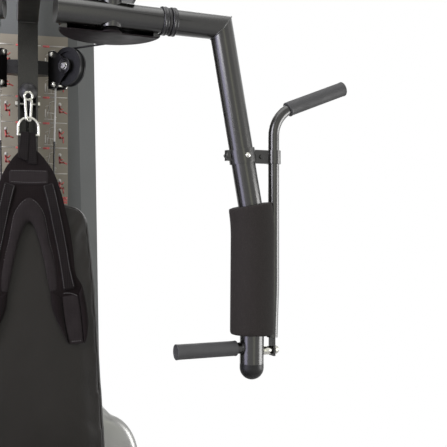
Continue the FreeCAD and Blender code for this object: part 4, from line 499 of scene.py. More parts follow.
def skin_of(name, node, voxel, material, body):
    """A CAD solid's skin, merged and rebuilt as even quads of one voxel's size, to be softened or filled."""
    form = bmesh.new()
    form.from_mesh(nodes[node].data)
    bmesh.ops.remove_doubles(form, verts=form.verts, dist=1e-5)
    mesh = bpy.data.meshes.new(name)
    form.to_mesh(mesh)
    form.free()
    piece = new_piece(name, mesh, material, body)
    reshape(piece, "rebuilt", "REMESH", mode="VOXEL", voxel_size=voxel, use_smooth_shade=True)
    piece.data.materials.clear()
    piece.data.materials.append(material)
    return piece


FOAM_PRESSURE = 4.0
FOAM_FRAMES = 20


def fill_with_foam(piece, cap, held):
    """Cloth under inner pressure for 20 frames. Held points stay, and a move of d becomes
    cap * (1 - exp(-d / cap)), so that no point goes further than the cap."""
    rest = points_of(piece)
    group = piece.vertex_groups.new(name="held")
    group.add([int(i) for i in np.flatnonzero(held)], 1.0, "REPLACE")
    cover = piece.modifiers.new("cover", "CLOTH")
    cover.settings.use_pressure = True
    cover.settings.uniform_pressure_force = FOAM_PRESSURE
    cover.settings.effector_weights.gravity = 0.0
    cover.settings.vertex_group_mass = "held"
    cover.point_cache.frame_start = 1
    cover.point_cache.frame_end = FOAM_FRAMES
    for frame_number in range(1, FOAM_FRAMES + 1):
        bpy.context.scene.frame_set(frame_number)
    move = points_of(piece.evaluated_get(bpy.context.evaluated_depsgraph_get())) - rest
    piece.modifiers.clear()
    piece.vertex_groups.clear()
    bpy.context.scene.frame_set(1)
    far = np.linalg.norm(move, axis=1, keepdims=True) + 1e-9
    set_points(piece, rest + move * cap * (1 - np.exp(-far / cap)) / far)


def leathercloth(name, colour, pale):
    """Vinyl on knit: 1.6 mm pebble grain drawn at 2.2 mm, creases 30 mm apart, and a soft uneven shine."""
    made, tree, shader = new_material(name, colour, 0.44, Specular_IOR_Level=0.24)
    cloud = add(tree, "TexNoise", {**at_size(tree, 90.0), "Detail": 4.0})
    pebble = add(tree, "TexVoronoi", at_size(tree, 2.2), feature="DISTANCE_TO_EDGE")
    grain = add(tree, "MapRange", {"Value": pebble.outputs["Distance"], "From Max": 0.25})
    crease = add(tree, "TexNoise", {**at_size(tree, 30.0), "Detail": 3.0, "Distortion": 1.2})
    folds = add(tree, "Bump", {"Height": crease, "Distance": 0.0015, "Strength": 0.25})
    dress(shader, linear(colour), pale, cloud, grain, 0.00025, 0.5, folds, cloud, (-0.08, 0.06))
    return made


vinyl = leathercloth("black vinyl leathercloth", "#15120f", "#201d19")
VINYL_VOXEL = 0.006
PAD_EDGE_LOSS = 0.009
PAD_CROWN = 0.009
PADS = (("backrest", "frame", 1, -1), ("seat", "seat", 2, 1))


def pad_box(name, axis, sign):
    """The corners of a pad's solid, where its face and its rear stand on the axis, and the other two axes.
    The face looks along the axis (1 is Y, 2 is Z) with its sign."""
    low, high = corners_of(name + "_pad")
    face, rear = (high[axis], low[axis]) if sign > 0 else (low[axis], high[axis])
    return low, high, face, rear, [k for k in range(3) if k != axis]


def upholstered(name, body, axis, sign):
    """A pad: the skin of its solid, its face drawn in by the edge loss, rounded, and then filled so that it
    crowns again, and stretched flat to its full width and length."""
    low, high, face, rear, flat = pad_box(name, axis, sign)
    pad = skin_of(name + "_cover", name + "_pad", VINYL_VOXEL, vinyl, body)
    points = points_of(pad)
    points[:, axis] -= sign * PAD_EDGE_LOSS * np.clip((points[:, axis] - rear) / (face - rear), 0, 1)
    set_points(pad, points)
    reshape(pad, "rounding", "SMOOTH", factor=0.5, iterations=10)
    fill_with_foam(pad, PAD_CROWN, np.abs(points_of(pad)[:, axis] - rear) < 2 * VINYL_VOXEL)
    reshape(pad, "finer", "SUBSURF", levels=1, render_levels=1)
    points = points_of(pad)
    least, most = points[:, flat].min(axis=0), points[:, flat].max(axis=0)
    points[:, flat] = low[flat] + (points[:, flat] - least) / (most - least) * (high - low)[flat]
    set_points(pad, points)
    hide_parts(name + "_pad")
    return pad


WELT_RADIUS = 0.0028
WELT_SHARE = 0.62
WELT_POINTS = 240
WELT_REACH = 0.004


def welt_line(pad, name, axis, sign):
    """The line of the seam: the outermost points of the pad where it is cut by the seam's plane, sorted by
    their angle about its middle, as means over even angles, smoothed over 5 neighbours."""
    low, high, face, rear, flat = pad_box(name, axis, sign)
    height = rear + (face - rear) * WELT_SHARE
    points = points_of(pad)
    near = points[np.abs(points[:, axis] - height) < WELT_REACH]
    middle = (low + high)[flat] / 2
    way = near[:, flat] - middle
    angle = np.arctan2(way[:, 1] / (high - low)[flat[1]], way[:, 0] / (high - low)[flat[0]])
    place = ((angle + math.pi) / (2 * math.pi) * WELT_POINTS).astype(int) % WELT_POINTS
    total, number = np.zeros((WELT_POINTS, 2)), np.zeros(WELT_POINTS)
    np.add.at(total, place, way)
    np.add.at(number, place, 1)
    kept = number > 0
    line = total[kept] / number[kept][:, None] + middle
    line = sum(np.roll(line, shift, axis=0) for shift in (-2, -1, 0, 1, 2)) / 5
    out = np.full((len(line), 3), height)
    out[:, flat] = line
    return out


covers = [upholstered(*row) for row in PADS]
for cover, (name, body, axis, sign) in zip(covers, PADS):
    bead = tube_rings(welt_line(cover, name, axis, sign), WELT_RADIUS, np.eye(3)[axis], 8, closed=True)
    skin(name + "_welt", [bead], vinyl, body, closed=True)


# ------------------------------------------------------------
# Arm pads: sleeves of black closed-cell foam pushed over the arm tubes, with a groove where the handle's tube
# is pressed in beside the arm.
def closed_cell_foam(name, colour, pale):
    """Closed-cell nitrile foam: a dull skin of 1 mm cells, drawn at 2.4 mm, with shallow dents 18 mm
    apart."""
    made, tree, shader = new_material(name, colour, 0.86, Specular_IOR_Level=0.22)
    cells = add(tree, "TexVoronoi", at_size(tree, 2.4)).outputs["Distance"]
    dents = add(tree, "TexNoise", {**at_size(tree, 18.0), "Detail": 3.0})
    soft = add(tree, "Bump", {"Height": dents, "Distance": 0.0012, "Strength": 0.4})
    dress(shader, linear(colour), pale, cells, cells, 0.0004, 0.6, soft)
    return made


foam = closed_cell_foam("black closed-cell foam", "#24201e", "#2f2b28")
FOAM_VOXEL = 0.004
for side, sign in SIDES:
    node = "foam_pad_" + side
    sleeve = skin_of("arm_foam_" + side, node, FOAM_VOXEL, foam, "arm_" + side)
    reshape(sleeve, "rounding", "SMOOTH", factor=0.5, iterations=7)
    reshape(sleeve, "finer", "SUBSURF", levels=1, render_levels=1)
    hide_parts(node)


# ------------------------------------------------------------
# Foam rollers: cut lengths of the same foam on the knee bar and the ankle bar, with corners rounded by wear.
# A black nylon plug closes each end of a bar.
def turned_rings(start, way, profile, across=(0.0, 1.0, 0.0), sides=32):
    """Rings of a turned piece: a profile row of share and radius is a circle of that radius round the point
    that lies that share of the way from the start. Its first point lies square to the way and to across."""
    way, profile = np.asarray(way, dtype=float), np.asarray(profile, dtype=float)
    first = unit(np.cross(way, across))
    second = unit(np.cross(first, way))
    angle = full_turn(sides)[None, :, None]
    share, radius = profile[:, 0, None, None], profile[:, 1, None, None]
    return start + share * way + radius * (np.cos(angle) * first + np.sin(angle) * second)


FOAM_CORNER = 0.007
FOAM_BELLY = 0.001


def foam_sleeve_profile(length, bore, radius):
    """Profile of a foam sleeve: up the near face, round a quarter circle, along a skin that bellies with the
    sine of the share, round the far corner and back through the bore."""
    turn = np.linspace(math.pi / 2, 0, 7)
    near = np.stack([FOAM_CORNER * (1 - np.sin(turn)),
                     radius - FOAM_BELLY - FOAM_CORNER * (1 - np.cos(turn))], axis=1)
    run = np.linspace(FOAM_CORNER, length - FOAM_CORNER, 24)
    skin_line = np.stack([run, radius - FOAM_BELLY + FOAM_BELLY * np.sin(math.pi * run / length)], axis=1)
    far = near[::-1] * (-1, 1) + (length, 0)
    return np.concatenate([[(0, bore)], near, skin_line, far, [(length, bore)]]) / (length, 1)


ROLLER_BAR = 0.0125
ROLLER_INNER = 0.055
PLUG_RADIUS = 0.0155
PLUG_HEIGHT = 0.0035
plug_turn = np.linspace(0, math.pi / 2, 8)
plug_dome = np.stack([PLUG_HEIGHT * np.sin(plug_turn), PLUG_RADIUS * np.cos(plug_turn) + 0.0002], axis=1)
plug_profile = np.concatenate([[(0.0, 0.006), (0.0, PLUG_RADIUS)], plug_dome])
for name, body in (("upper", "frame"), ("lower", "leg")):
    low, high = corners_of(name + "_foam_rollers")
    middle = (low + high) / 2 * (0, 1, 1)
    profile = foam_sleeve_profile(high[0] - ROLLER_INNER, ROLLER_BAR, (high[2] - low[2]) / 2)
    rollers, plugs = [], []
    for side, sign in SIDES:
        near, far = middle + (sign * ROLLER_INNER, 0, 0), middle + (sign * high[0], 0, 0)
        rollers.append(turned_rings(near, far - near, profile))
        plugs.append(turned_rings(far, (sign, 0, 0), plug_profile, sides=24))
    piece = skin("rollers_" + name, rollers, foam, body, closed=True)
    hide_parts(name + "_foam_rollers")
    skin("bar_plugs_" + name, plugs, nylon, body)


# ------------------------------------------------------------
# Hand grips: sleeves of dark grey rubber, moulded with a rounded rim at each end and pushed over the ends of
# the two handles of each arm and of the lat bar. A shallow dish closes the outer end.
grip_rubber = moulded("dark grey moulded rubber", "#3e3e3e", "#515150", 0.62, grain_mm=1.6, depth=0.00012)
GRIP_RADIUS = 0.0185
GRIP_RIM = 0.0008
GRIP_RIM_LENGTH = 0.004
GRIP_CORNER = 0.0015
GRIP_LIP = [(0.0, 0.0141), (0.0, GRIP_RADIUS - 0.0014)]
GRIP_DISH = [(0.0, GRIP_RADIUS - 0.0010), (0.0, 0.0138), (-0.0007, 0.0131), (-0.0012, 0.0118),
             (-0.0012, 0.004)]
GRIP_FINE, GRIP_STEP = 0.012, 0.005


def grip_radii(run, length):
    """Radius along a grip: the body's, plus a rim that dies off from each end as exp(-(distance / 4 mm)^2),
    less a quarter round at the ends."""
    from_end = np.minimum(run, length - run)
    rim = GRIP_RIM * np.exp(-(from_end / GRIP_RIM_LENGTH) ** 2)
    inside = np.clip(GRIP_CORNER - from_end, 0, GRIP_CORNER)
    return GRIP_RADIUS + rim - (GRIP_CORNER - np.sqrt(GRIP_CORNER ** 2 - inside ** 2))


def run_of(line):
    """The distance run along a line at each of its points."""
    return np.concatenate([[0], np.cumsum(np.linalg.norm(np.diff(line, axis=0), axis=1))])


def grip_rings(line, across):
    """Rings of a grip along a line: a flat lip up from the bore, the body, and a dish in the outer end."""
    run = run_of(line)
    lip = turned_rings(line[0], unit(line[1] - line[0]), GRIP_LIP, across)
    end = turned_rings(line[-1], unit(line[-1] - line[-2]), GRIP_DISH, across)
    return np.concatenate([lip, tube_rings(line, grip_radii(run, run[-1]), across, 32), end])


def straight_grip(near, far, across):
    """Rings of a straight grip: they stand close together near its ends and even steps apart between them."""
    length = float(np.linalg.norm(far - near))
    fine = np.linspace(0, 1, 12) ** 1.6 * GRIP_FINE
    even = np.arange(GRIP_FINE + GRIP_STEP, length - GRIP_FINE - 0.003, GRIP_STEP)
    runs = np.concatenate([fine, even, length - fine[::-1]])
    return grip_rings(near + runs[:, None] * (far - near) / length, across)


HANDLE_REACH = 0.4215
HANDLE_BEND_Z = 1.491
HANDLE_BEND_RADIUS = 0.080
HANDLE_TIP_REACH = 0.626
HANDLE_RISE = math.radians(21.3)
HANDLE_GRIP_START = math.radians(60)
LOWER_GRIP_NEAR, LOWER_GRIP_FAR = 0.316, 0.158
handle_turn = math.pi / 2 - HANDLE_RISE
bend_u = HANDLE_REACH + HANDLE_BEND_RADIUS
bend_z = HANDLE_BEND_Z - HANDLE_BEND_RADIUS * math.tan(handle_turn / 2)
turn = np.linspace(HANDLE_GRIP_START, handle_turn, 9)[:-1]
run_u = np.linspace(bend_u - HANDLE_BEND_RADIUS * math.cos(handle_turn), HANDLE_TIP_REACH, 44)[:-1]
tip_u = HANDLE_TIP_REACH - GRIP_RIM_LENGTH * np.array([0.75, 0.5, 0.3, 0.15, 0.06, 0.0])
run_u = np.concatenate([run_u, tip_u])
handle_u = np.concatenate([bend_u - HANDLE_BEND_RADIUS * np.cos(turn), run_u])
handle_z = np.concatenate([bend_z + HANDLE_BEND_RADIUS * np.sin(turn),
                           HANDLE_BEND_Z + (run_u - HANDLE_REACH) * math.tan(HANDLE_RISE)])
for side, sign in SIDES:
    backward = arm_points(0, 1, 0, sign) - arm_points(0, 0, 0, sign)
    low_grip = straight_grip(arm_points(LOWER_GRIP_NEAR, 0, LOWER_GRIP_Z, sign),
                             arm_points(LOWER_GRIP_FAR, 0, LOWER_GRIP_Z, sign), backward)
    high_grip = grip_rings(arm_points(handle_u, 0, handle_z, sign), backward)
    piece = skin("grip_rubbers_" + side, [low_grip, high_grip], grip_rubber, "arm_" + side)
    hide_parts("hand_grips_" + side)

LAT_LINE_Y = -0.3638
LAT_BAR_Z = 1.845
LAT_BAR_HALF = 0.500
LAT_BEND_X = 0.330
LAT_DROP = math.radians(25)
LAT_GRIP_LENGTH = 0.140
GRIP_END_WALL = 0.005
lat_end_z = LAT_BAR_Z - (LAT_BAR_HALF - LAT_BEND_X) * math.tan(LAT_DROP)
lat_grips = []
for side, sign in SIDES:
    way = np.array([sign * math.cos(LAT_DROP), 0, -math.sin(LAT_DROP)])
    end = np.array([sign * LAT_BAR_HALF, LAT_LINE_Y, lat_end_z])
    lat_grips.append(straight_grip(end - way * LAT_GRIP_LENGTH, end + way * GRIP_END_WALL, (0, 1, 0)))
piece = skin("lat_grip_rubbers", lat_grips, grip_rubber, "lat")
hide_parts("lat_grips")


# ------------------------------------------------------------
# Arm fasteners: zinc-plated screws through the handle's clamp, and the bolt at the handle's foot with its
# spacer, wide washer and domed nut.
def hexagon(place, way, radius, height):
    """Rings of a hexagon head: six sides with a chamfered top."""
    return turned_rings(place, way, [(0.0, radius), (0.72 * height, radius), (height, 0.8 * radius)], sides=6)


def disc(place, way, radius, height, edge=0.0003):
    """Rings of a washer or boss with chamfered edges."""
    return turned_rings(place, way, [(0.0, radius - edge), (edge, radius), (height - edge, radius),
                                     (height, radius - edge)])


def dome(place, way, radius, height):
    """Rings of a domed cap: a quarter ellipse of the height over the radius."""
    turn = np.linspace(0, math.pi / 2 - 0.1, 9)
    return turned_rings(place, way, np.stack([height * np.sin(turn), radius * np.cos(turn)], axis=1))


# Screws, washers and nuts are given as a radius and a height.
CLAMP_WASHER, CLAMP_CAP = (0.0062, 0.0012), (0.0045, 0.003)
FOOT_WASHER, FOOT_NUT, FOOT_DOME = (0.0128, 0.002), (0.0115, 0.0065), (0.0088, 0.0055)
SPACER_RADIUS = 0.0108
SUNK = 0.0005
STRAP_MIDDLE_Z = 1.383
STRAP_FACE = ARM_RADIUS + 0.004 - 0.0004
HANDLE_BOLT_Z = 0.898
HANDLE_TAB = (0.413, 0.421)
strap_u = np.interp(STRAP_MIDDLE_Z, (ARM_KNEE[1], ARM_CORNER[1]), (ARM_KNEE[0], ARM_CORNER[0]))
spacer_u = ARM_FOOT[0] + ARM_RADIUS - SUNK
for side, sign in SIDES:
    axle = arm_points(0, 0, 0, sign)
    outward, toward = arm_points(1, 0, 0, sign) - axle, arm_points(0, -1, 0, sign) - axle
    screws = []
    for way in (toward, -toward):
        seat = arm_points(strap_u, 0, STRAP_MIDDLE_Z, sign) + way * STRAP_FACE
        screws += [disc(seat, way, *CLAMP_WASHER), dome(seat + way * CLAMP_WASHER[1], way, *CLAMP_CAP)]
    spacer = arm_points(spacer_u, 0, HANDLE_BOLT_Z, sign)
    outer = arm_points(HANDLE_TAB[1] + 0.0004, 0, HANDLE_BOLT_Z, sign)
    nut = outer + outward * FOOT_WASHER[1]
    screws += [disc(spacer, outward, SPACER_RADIUS, HANDLE_TAB[0] - spacer_u - SUNK),
               disc(outer, outward, *FOOT_WASHER), hexagon(nut, outward, *FOOT_NUT),
               dome(nut + outward * FOOT_NUT[1], outward, *FOOT_DOME)]
    skin("arm_screws_" + side, screws, zinc, "arm_" + side)


# ------------------------------------------------------------
# Arm pulleys: black powder-coated brackets beside the front post. A pressed hub ring stands on each cheek,
# and the pulley's zinc-plated bolt goes through both, on washers. The two bolts behind it have domed nuts.
bracket_coat = powder_coat("black powder coat on steel", "#1a1919", "#3a3938", "#4b4a4c")
finish_node(bracket_coat, "frame_brackets")
ARM_PULLEY = (0.104, 0.160, 1.625)
ARM_PULLEY_AXIS = (-0.7517, -0.6595, 0.0)
ARM_CHEEK_WAY = (0.6595, -0.7517, 0.0)
CHEEK_FACE = 0.0168
KEEPER_BOLTS = ((-0.044, 0.034), (-0.036, -0.045))
KEEPER_HEAD = 0.006
PULLEY_WASHER, KEEPER_NUT = (0.0112, 0.0016), (0.0066, 0.0042)
HUB_PROFILE = [(0.0, 0.0205), (0.0022, 0.0205), (0.0030, 0.0197), (0.0030, 0.0172), (0.0022, 0.0164),
               (0.0010, 0.0158), (0.0010, 0.0132), (0.0026, 0.0124), (0.0026, 0.0100), (0.0, 0.0098)]
hub_rings, pulley_washers = [], []
for side, sign in SIDES:
    centre, axle, cheek = (np.array(row) * (sign, 1, 1)
                           for row in (ARM_PULLEY, ARM_PULLEY_AXIS, ARM_CHEEK_WAY))
    for way in (axle, -axle):
        face = centre + way * CHEEK_FACE
        hub_rings.append(turned_rings(face, way, HUB_PROFILE, (0, 0, 1), 40))
        pulley_washers.append(disc(face, way, *PULLEY_WASHER))
        for reach, rise in KEEPER_BOLTS:
            nut = face + cheek * reach + (0, 0, rise) + way * KEEPER_HEAD
            pulley_washers.append(dome(nut, way, *KEEPER_NUT))
skin("arm_pulley_hubs", hub_rings, bracket_coat, "frame", closed=True)
skin("arm_pulley_washers", pulley_washers, zinc, "frame")


# ------------------------------------------------------------
# Exercise chart: a card printed brown-grey, laminated and stuck on the front of the shroud. Each cell has a
# white rule with a red mark, and a generic pictogram: the machine in white, the person in red.
chart_card = moulded("laminated brown-grey card", "#a09888", "#b0a99c", 0.42, grain_mm=1.5, depth=0.00002)
finish_node(chart_card, "exercise_chart")
white_ink = moulded("white screen-printing ink", "#dedad0", "#efece4", 0.5, grain_mm=0.8, depth=0.00001)
red_ink = moulded("red screen-printing ink", "#e0524c", "#ec8078", 0.5, grain_mm=0.8, depth=0.00001)
MM = 0.001
INK_THICKNESS = 0.0002
CHART_FACE_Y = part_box("exercise_chart")[0][1]
CHART_ROW_Z = (1.701, 1.632, 1.562, 1.492, 1.424, 1.354, 1.283)
CHART_COLUMN_X = (-0.101, -0.030, 0.041)
CELL_WIDTH = 0.0655
CELL_DROP = 0.036
RULE_HALF = 0.0013
RED_MARK = (0.018, 0.0040)
MACHINE_X, PERSON_X = 0.023, 0.046
PERSON_DROP = 0.004
KEY_MARK_X, KEY_MARK_HEIGHT, KEY_MARK_Z = 0.021, 0.0052, (0.0075, 0.0010, -0.0055)
KEY_LINE_X, KEY_LINE_HEIGHT, KEY_LINE_DOWN = 0.026, 0.0012, (0.0, 0.004, 0.008)


def print_rings(outline):
    """Rings of a print on the card, from its outline in x and z: raised from the card by the ink."""
    ring = np.insert(np.asarray(outline, dtype=float), 1, CHART_FACE_Y, axis=1)
    return np.stack([ring, ring - (0, INK_THICKNESS, 0)])


def printed_stroke(start, end, width):
    """A printed line with round ends: a stadium of that width."""
    way = (end - start) / max(float(np.linalg.norm(end - start)), 1e-6)
    turn = full_turn(12) - math.pi / 2 + 1e-4
    arc = width / 2 * (np.cos(turn)[:, None] * way + np.sin(turn)[:, None] * (-way[1], way[0]))
    return print_rings(np.where((np.cos(turn) > 0)[:, None], end, start) + arc)


def printed_block(x0, z0, x1, z1):
    """A printed rectangle between two corners."""
    return print_rings([(x0, z0), (x1, z0), (x1, z1), (x0, z1)])


def drawing(strokes, place, scale):
    """Strokes in millimetres, moved to their place and scaled; their widths stay."""
    return [printed_stroke(place + scale * (x0, z0), place + scale * (x1, z1), width * MM)
            for x0, z0, x1, z1, width in strokes]


# The strokes are (x0, z0, x1, z1, width) in millimetres. The person is drawn a little smaller than the
# machine.
MACHINE = ((-18, -24, 12, -24, 1.6), (-12, -24, -4, 22, 1.4), (-4, 22, 8, 26, 1.4), (8, 26, 10, 20, 1.2),
           (-16, -18, -16, 2, 3.0), (-11, -18, -11, -4, 1.4), (-7, -6, 6, -8, 2.0), (-2, -8, 0, -24, 1.2),
           (-8, 2, -4, 16, 2.2), (6, -8, 10, -18, 1.2), (7, -18, 13, -19, 2.2), (-16, 10, -8, 14, 1.0))
HEAD, TRUNK = (-1, 23, -1, 24, 9.0), (0, 0, -2, 17, 6.0)
LIMBS = (
    ((-2, 16, 7, 12, 3.6), (7, 12, 14, 18, 3.2), (0, 0, 12, 1, 5.0), (12, 1, 13, -14, 4.2)),
    ((-2, 16, 5, 24, 3.6), (5, 24, 3, 30, 3.2), (-6, 31, 12, 31, 2.2), (0, 0, 12, 1, 5.0),
     (12, 1, 11, -14, 4.2)),
    ((-2, 16, 4, 8, 3.6), (4, 8, 10, 10, 3.2), (0, 0, 12, 1, 5.0), (12, 1, 25, -3, 4.2)),
    ((-2, 16, -8, 10, 3.6), (-8, 10, -3, 2, 3.2), (0, 0, 4, -14, 5.0), (4, -14, 0, -26, 4.2)),
)
MACHINE_SCALE, PERSON_SCALE = np.array([1.0, 1.0]) * MM, np.array([0.7, 0.9]) * MM
white_prints, red_prints = [], []
for row, rule_z in enumerate(CHART_ROW_Z[:-1]):
    for column, left in enumerate(CHART_COLUMN_X):
        white_prints.append(printed_block(left + RED_MARK[0] + 0.0002, rule_z - RULE_HALF, left + CELL_WIDTH,
                                          rule_z + RULE_HALF))
        red_prints.append(printed_block(left, rule_z - RED_MARK[1], left + RED_MARK[0], rule_z + RULE_HALF))
        machine_place = np.array([left + MACHINE_X, rule_z - CELL_DROP])
        person_place = np.array([left + PERSON_X, rule_z - CELL_DROP - PERSON_DROP])
        white_prints += drawing(MACHINE, machine_place, MACHINE_SCALE)
        white_prints += drawing((HEAD,), person_place, PERSON_SCALE)
        red_prints += drawing((TRUNK,) + LIMBS[(row * 2 + column) % 4], person_place, PERSON_SCALE)
# The last row is a key: three white lines and three red marks under each column.
for left in CHART_COLUMN_X:
    right, key_z = left + CELL_WIDTH, CHART_ROW_Z[-1]
    red_prints += [printed_block(right - KEY_MARK_X, key_z + high - KEY_MARK_HEIGHT, right, key_z + high)
                   for high in KEY_MARK_Z]
    white_prints += [printed_block(left, key_z - down, right - KEY_LINE_X, key_z - down + KEY_LINE_HEIGHT)
                     for down in KEY_LINE_DOWN]
skin("chart_white_print", white_prints, white_ink, "frame")
skin("chart_red_print", red_prints, red_ink, "frame")


# ------------------------------------------------------------
# Collars: two ribbed rings of dark grey nylon on each arm's shaft with a black rubber bush between them. A
# thin black-brown disc lies under each cam and over the spindle's nut: painted shade, a dark sheet that
# stands in for the shade in the cam's recess.
collar_nylon = moulded("dark grey moulded nylon", "#201f20", "#3e3d3e", 0.3, grain_mm=0.9)
# Painted shade: a black-brown disc put under each cam, where the recess is only in shade.
shade_disc_nylon = moulded("black-brown disc of painted shade", "#150e10", "#2b2021", 0.6, grain_mm=1.2,
                      Specular_IOR_Level=0.15)
COLLAR_START = 0.1193
COLLAR_GAP = 0.023
RING_PROFILE = np.array([(0, 26.5), (0, 32.4), (1.2, 33.9), (4.2, 33.9), (5.4, 32.6), (7.6, 32.6),
                         (8.8, 33.9), (11.8, 33.9), (13, 32.4), (13, 26.5)]) * MM
BUSH_PROFILE = np.array([(13, 26.5), (13.1, 29.8), (15, 31.4), (18, 31.9), (21, 31.4), (22.9, 29.8),
                         (23, 26.5)]) * MM
SHADE_DISC_LOW_Z, SHADE_DISC_HIGH_Z = 1.6532, 1.6557
SHADE_DISC_RADIUS = 0.1165
SHADE_DISC_BOSS = 0.0250
SHADE_DISC_FRONT = 0.004
SHADE_DISC_SECTION = np.array([(0.02, 1), (0.994, 1), (1.0, 0.7), (1.0, 0.3), (0.992, 0), (0.02, 0)])

# Round the disc of painted shade its rim is the cam's half circle behind, and in front a straight edge with a
# round boss.
angle = full_turn(144)[None]
straight = SHADE_DISC_FRONT / np.maximum(-np.sin(angle), SHADE_DISC_FRONT / SHADE_DISC_RADIUS)
shade_disc_rim = np.where(np.sin(angle) >= 0, SHADE_DISC_RADIUS, np.clip(straight, SHADE_DISC_BOSS, SHADE_DISC_RADIUS))
shade_disc_share, shade_disc_level = SHADE_DISC_SECTION.T[..., None]
shade_disc_u, shade_disc_v = shade_disc_share * shade_disc_rim * np.cos(angle), shade_disc_share * shade_disc_rim * np.sin(angle)
shade_disc_z = SHADE_DISC_LOW_Z + shade_disc_level * (SHADE_DISC_HIGH_Z - SHADE_DISC_LOW_Z)
for side, sign in SIDES:
    start = arm_points(COLLAR_START, 0, ARM_CORNER[1], sign)
    way = arm_points(1, 0, 0, sign) - arm_points(0, 0, 0, sign)
    ribbed = [turned_rings(start, way, RING_PROFILE + (shift, 0), (0, 0, 1), 48) for shift in (0, COLLAR_GAP)]
    piece = skin("collar_rings_" + side + "_turned", ribbed, collar_nylon, "arm_" + side, closed=True)
    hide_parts("collar_rings_" + side)
    bush = turned_rings(start, way, BUSH_PROFILE, (0, 0, 1), 48)
    skin("collar_bush_" + side, [bush], foot_rubber, "arm_" + side, closed=True)
    # The disc of painted shade under the cam.
    cover = arm_points(shade_disc_u, shade_disc_v, shade_disc_z, sign)
    skin("cam_shade_disc_" + side, [cover], shade_disc_nylon, "sleeve_" + side)


# ------------------------------------------------------------
# Abdominal harness: a padded collar of black nylon cloth over foam that goes over the shoulders. Its neck is
# lined, nylon webbing is sewn down each arm and ends in a hand loop, and two straps hang it from the ring.
def woven(name, colour, pale, weave_mm, roughness=0.8):
    """Woven nylon: threads of 0.5 mm drawn at the given size in two directions, faint slow changes of tone
    from wear, and a soft sheen at glancing angles. A wave's period is 0.314 / scale: one thread and one
    gap."""
    made, tree, shader = new_material(name, colour, roughness, Sheen_Weight=0.03, Sheen_Roughness=0.5,
                                      Specular_IOR_Level=0.06)
    across, down = (add(tree, "TexWave", {**at_size(tree, weave_mm * 6.3), "Distortion": 0.6},
                        bands_direction=axis).outputs["Fac"] for axis in "XZ")
    weave = add(tree, "Math", {0: across, 1: down}, operation="MAXIMUM")
    cloud = add(tree, "TexNoise", {**at_size(tree, 45.0), "Detail": 4.0})
    tone = add(tree, "Math", {0: weave, 1: cloud}, operation="MULTIPLY")
    puckers = add(tree, "Bump", {"Height": cloud, "Distance": 0.002, "Strength": 0.3})
    dress(shader, linear(colour), pale, tone, weave, 0.0003, 0.5, puckers)
    return made


HARNESS_REAR_Y = -0.0123
HARNESS_CREASE_Z = 1.272
HARNESS_SLOPE = 0.7253
HARNESS_BEND = 0.010
PUCKER_PITCH, PUCKER_DRIFT = 0.013, 0.031


def on_harness(x, z, depth):
    """Places on the harness. Its rear hangs plumb to the crease and leans back above it, y = rear + slope *
    bend * log(1 + exp((z - crease) / bend)), and the depth is measured square to that."""
    x, z, depth = np.broadcast_arrays(np.asarray(x, dtype=float), z, depth)
    over = (z - HARNESS_CREASE_Z) / HARNESS_BEND
    y = HARNESS_REAR_Y + HARNESS_SLOPE * HARNESS_BEND * np.logaddexp(0, over)
    lean = HARNESS_SLOPE / (1 + np.exp(-over))
    length = np.sqrt(1 + lean ** 2)
    return np.stack([x, y - depth / length, z + depth * lean / length], axis=-1)


def smooth_line(count, *points):
    """Even places on a Catmull-Rom curve through points in millimetres: between b and c, with a and d
    beyond them, b + t (c - a) / 2 + t^2 (a - 2.5 b + 2 c - 0.5 d) + t^3 (1.5 (b - c) + 0.5 (d - a)), t from
    0 to 1."""
    knots = np.array(points, dtype=float) * MM
    knots = np.concatenate([[2 * knots[0] - knots[1]], knots, [2 * knots[-1] - knots[-2]]])
    way = np.linspace(0, len(knots) - 3, 12 * len(knots))
    index = np.minimum(way.astype(int), len(knots) - 4)
    t = (way - index)[:, None]
    a, b, c, d = (knots[index + shift] for shift in range(4))
    curve = (b + t * (c - a) / 2 + t ** 2 * (a - 2.5 * b + 2 * c - 0.5 * d)
             + t ** 3 * (1.5 * (b - c) + 0.5 * (d - a)))
    run = run_of(curve)
    even = np.linspace(0, run[-1], count)
    return np.stack([np.interp(even, run, curve[:, k]) for k in (0, 1)], axis=1)


def both_sides(line):
    """A line up the right half, and on down the left half."""
    return np.concatenate([line, (line * (-1, 1))[::-1][1:]])


def rounded_square(sides, power):
    """Places round a superellipse of half width and half height 1: cos a and sin a, each to the power with
    its sign kept."""
    angle = full_turn(sides)[None, :]
    return [np.sign(wave) * np.abs(wave) ** power for wave in (np.cos(angle), np.sin(angle))]


def padded_band(first, second, rear, thick, power, pucker=0.0, sides=22, ends=0.010):
    """Rings of a band sewn up between two edges on the harness: a superellipse across, rounded off over its
    ends, with puckers 13 mm apart that die off towards its middle."""
    thick, rear = (np.broadcast_to(np.asarray(value, dtype=float), len(first)) for value in (thick, rear))
    middle = (first + second) / 2
    run = run_of(middle)
    near = np.clip(np.minimum(run, run[-1] - run) / ends, 0, 1)
    full = np.sqrt(np.clip(1 - (1 - near) ** 2, 0.06, 1))[:, None]
    across, deep = rounded_square(sides, 2 / power)
    flat = middle[:, None, :] + (across * (0.7 + 0.3 * full))[..., None] * ((second - first) / 2)[:, None, :]
    wave = np.sin(2 * math.pi * run / PUCKER_PITCH + 2 * np.sin(run / PUCKER_DRIFT))
    wave = pucker * wave[:, None] * np.abs(across) ** 2
    depth = (rear + thick / 2)[:, None] + deep * full * (thick / 2)[:, None] + wave * np.maximum(deep, 0)
    return on_harness(flat[..., 0], flat[..., 1], depth)


def on_band(first, second, rear, thick, power, share, lift=0.0002):
    """The line on a band's front at a share of the way from its first edge to its second, where half its
    thickness is thick / 2 * (1 - |2 share - 1|^power)^(1 / power)."""
    flat = first + (second - first) * share
    half = thick / 2 * (1 - abs(2 * share - 1) ** power) ** (1 / power)
    return on_harness(flat[:, 0], flat[:, 1], rear + thick / 2 + half + lift)


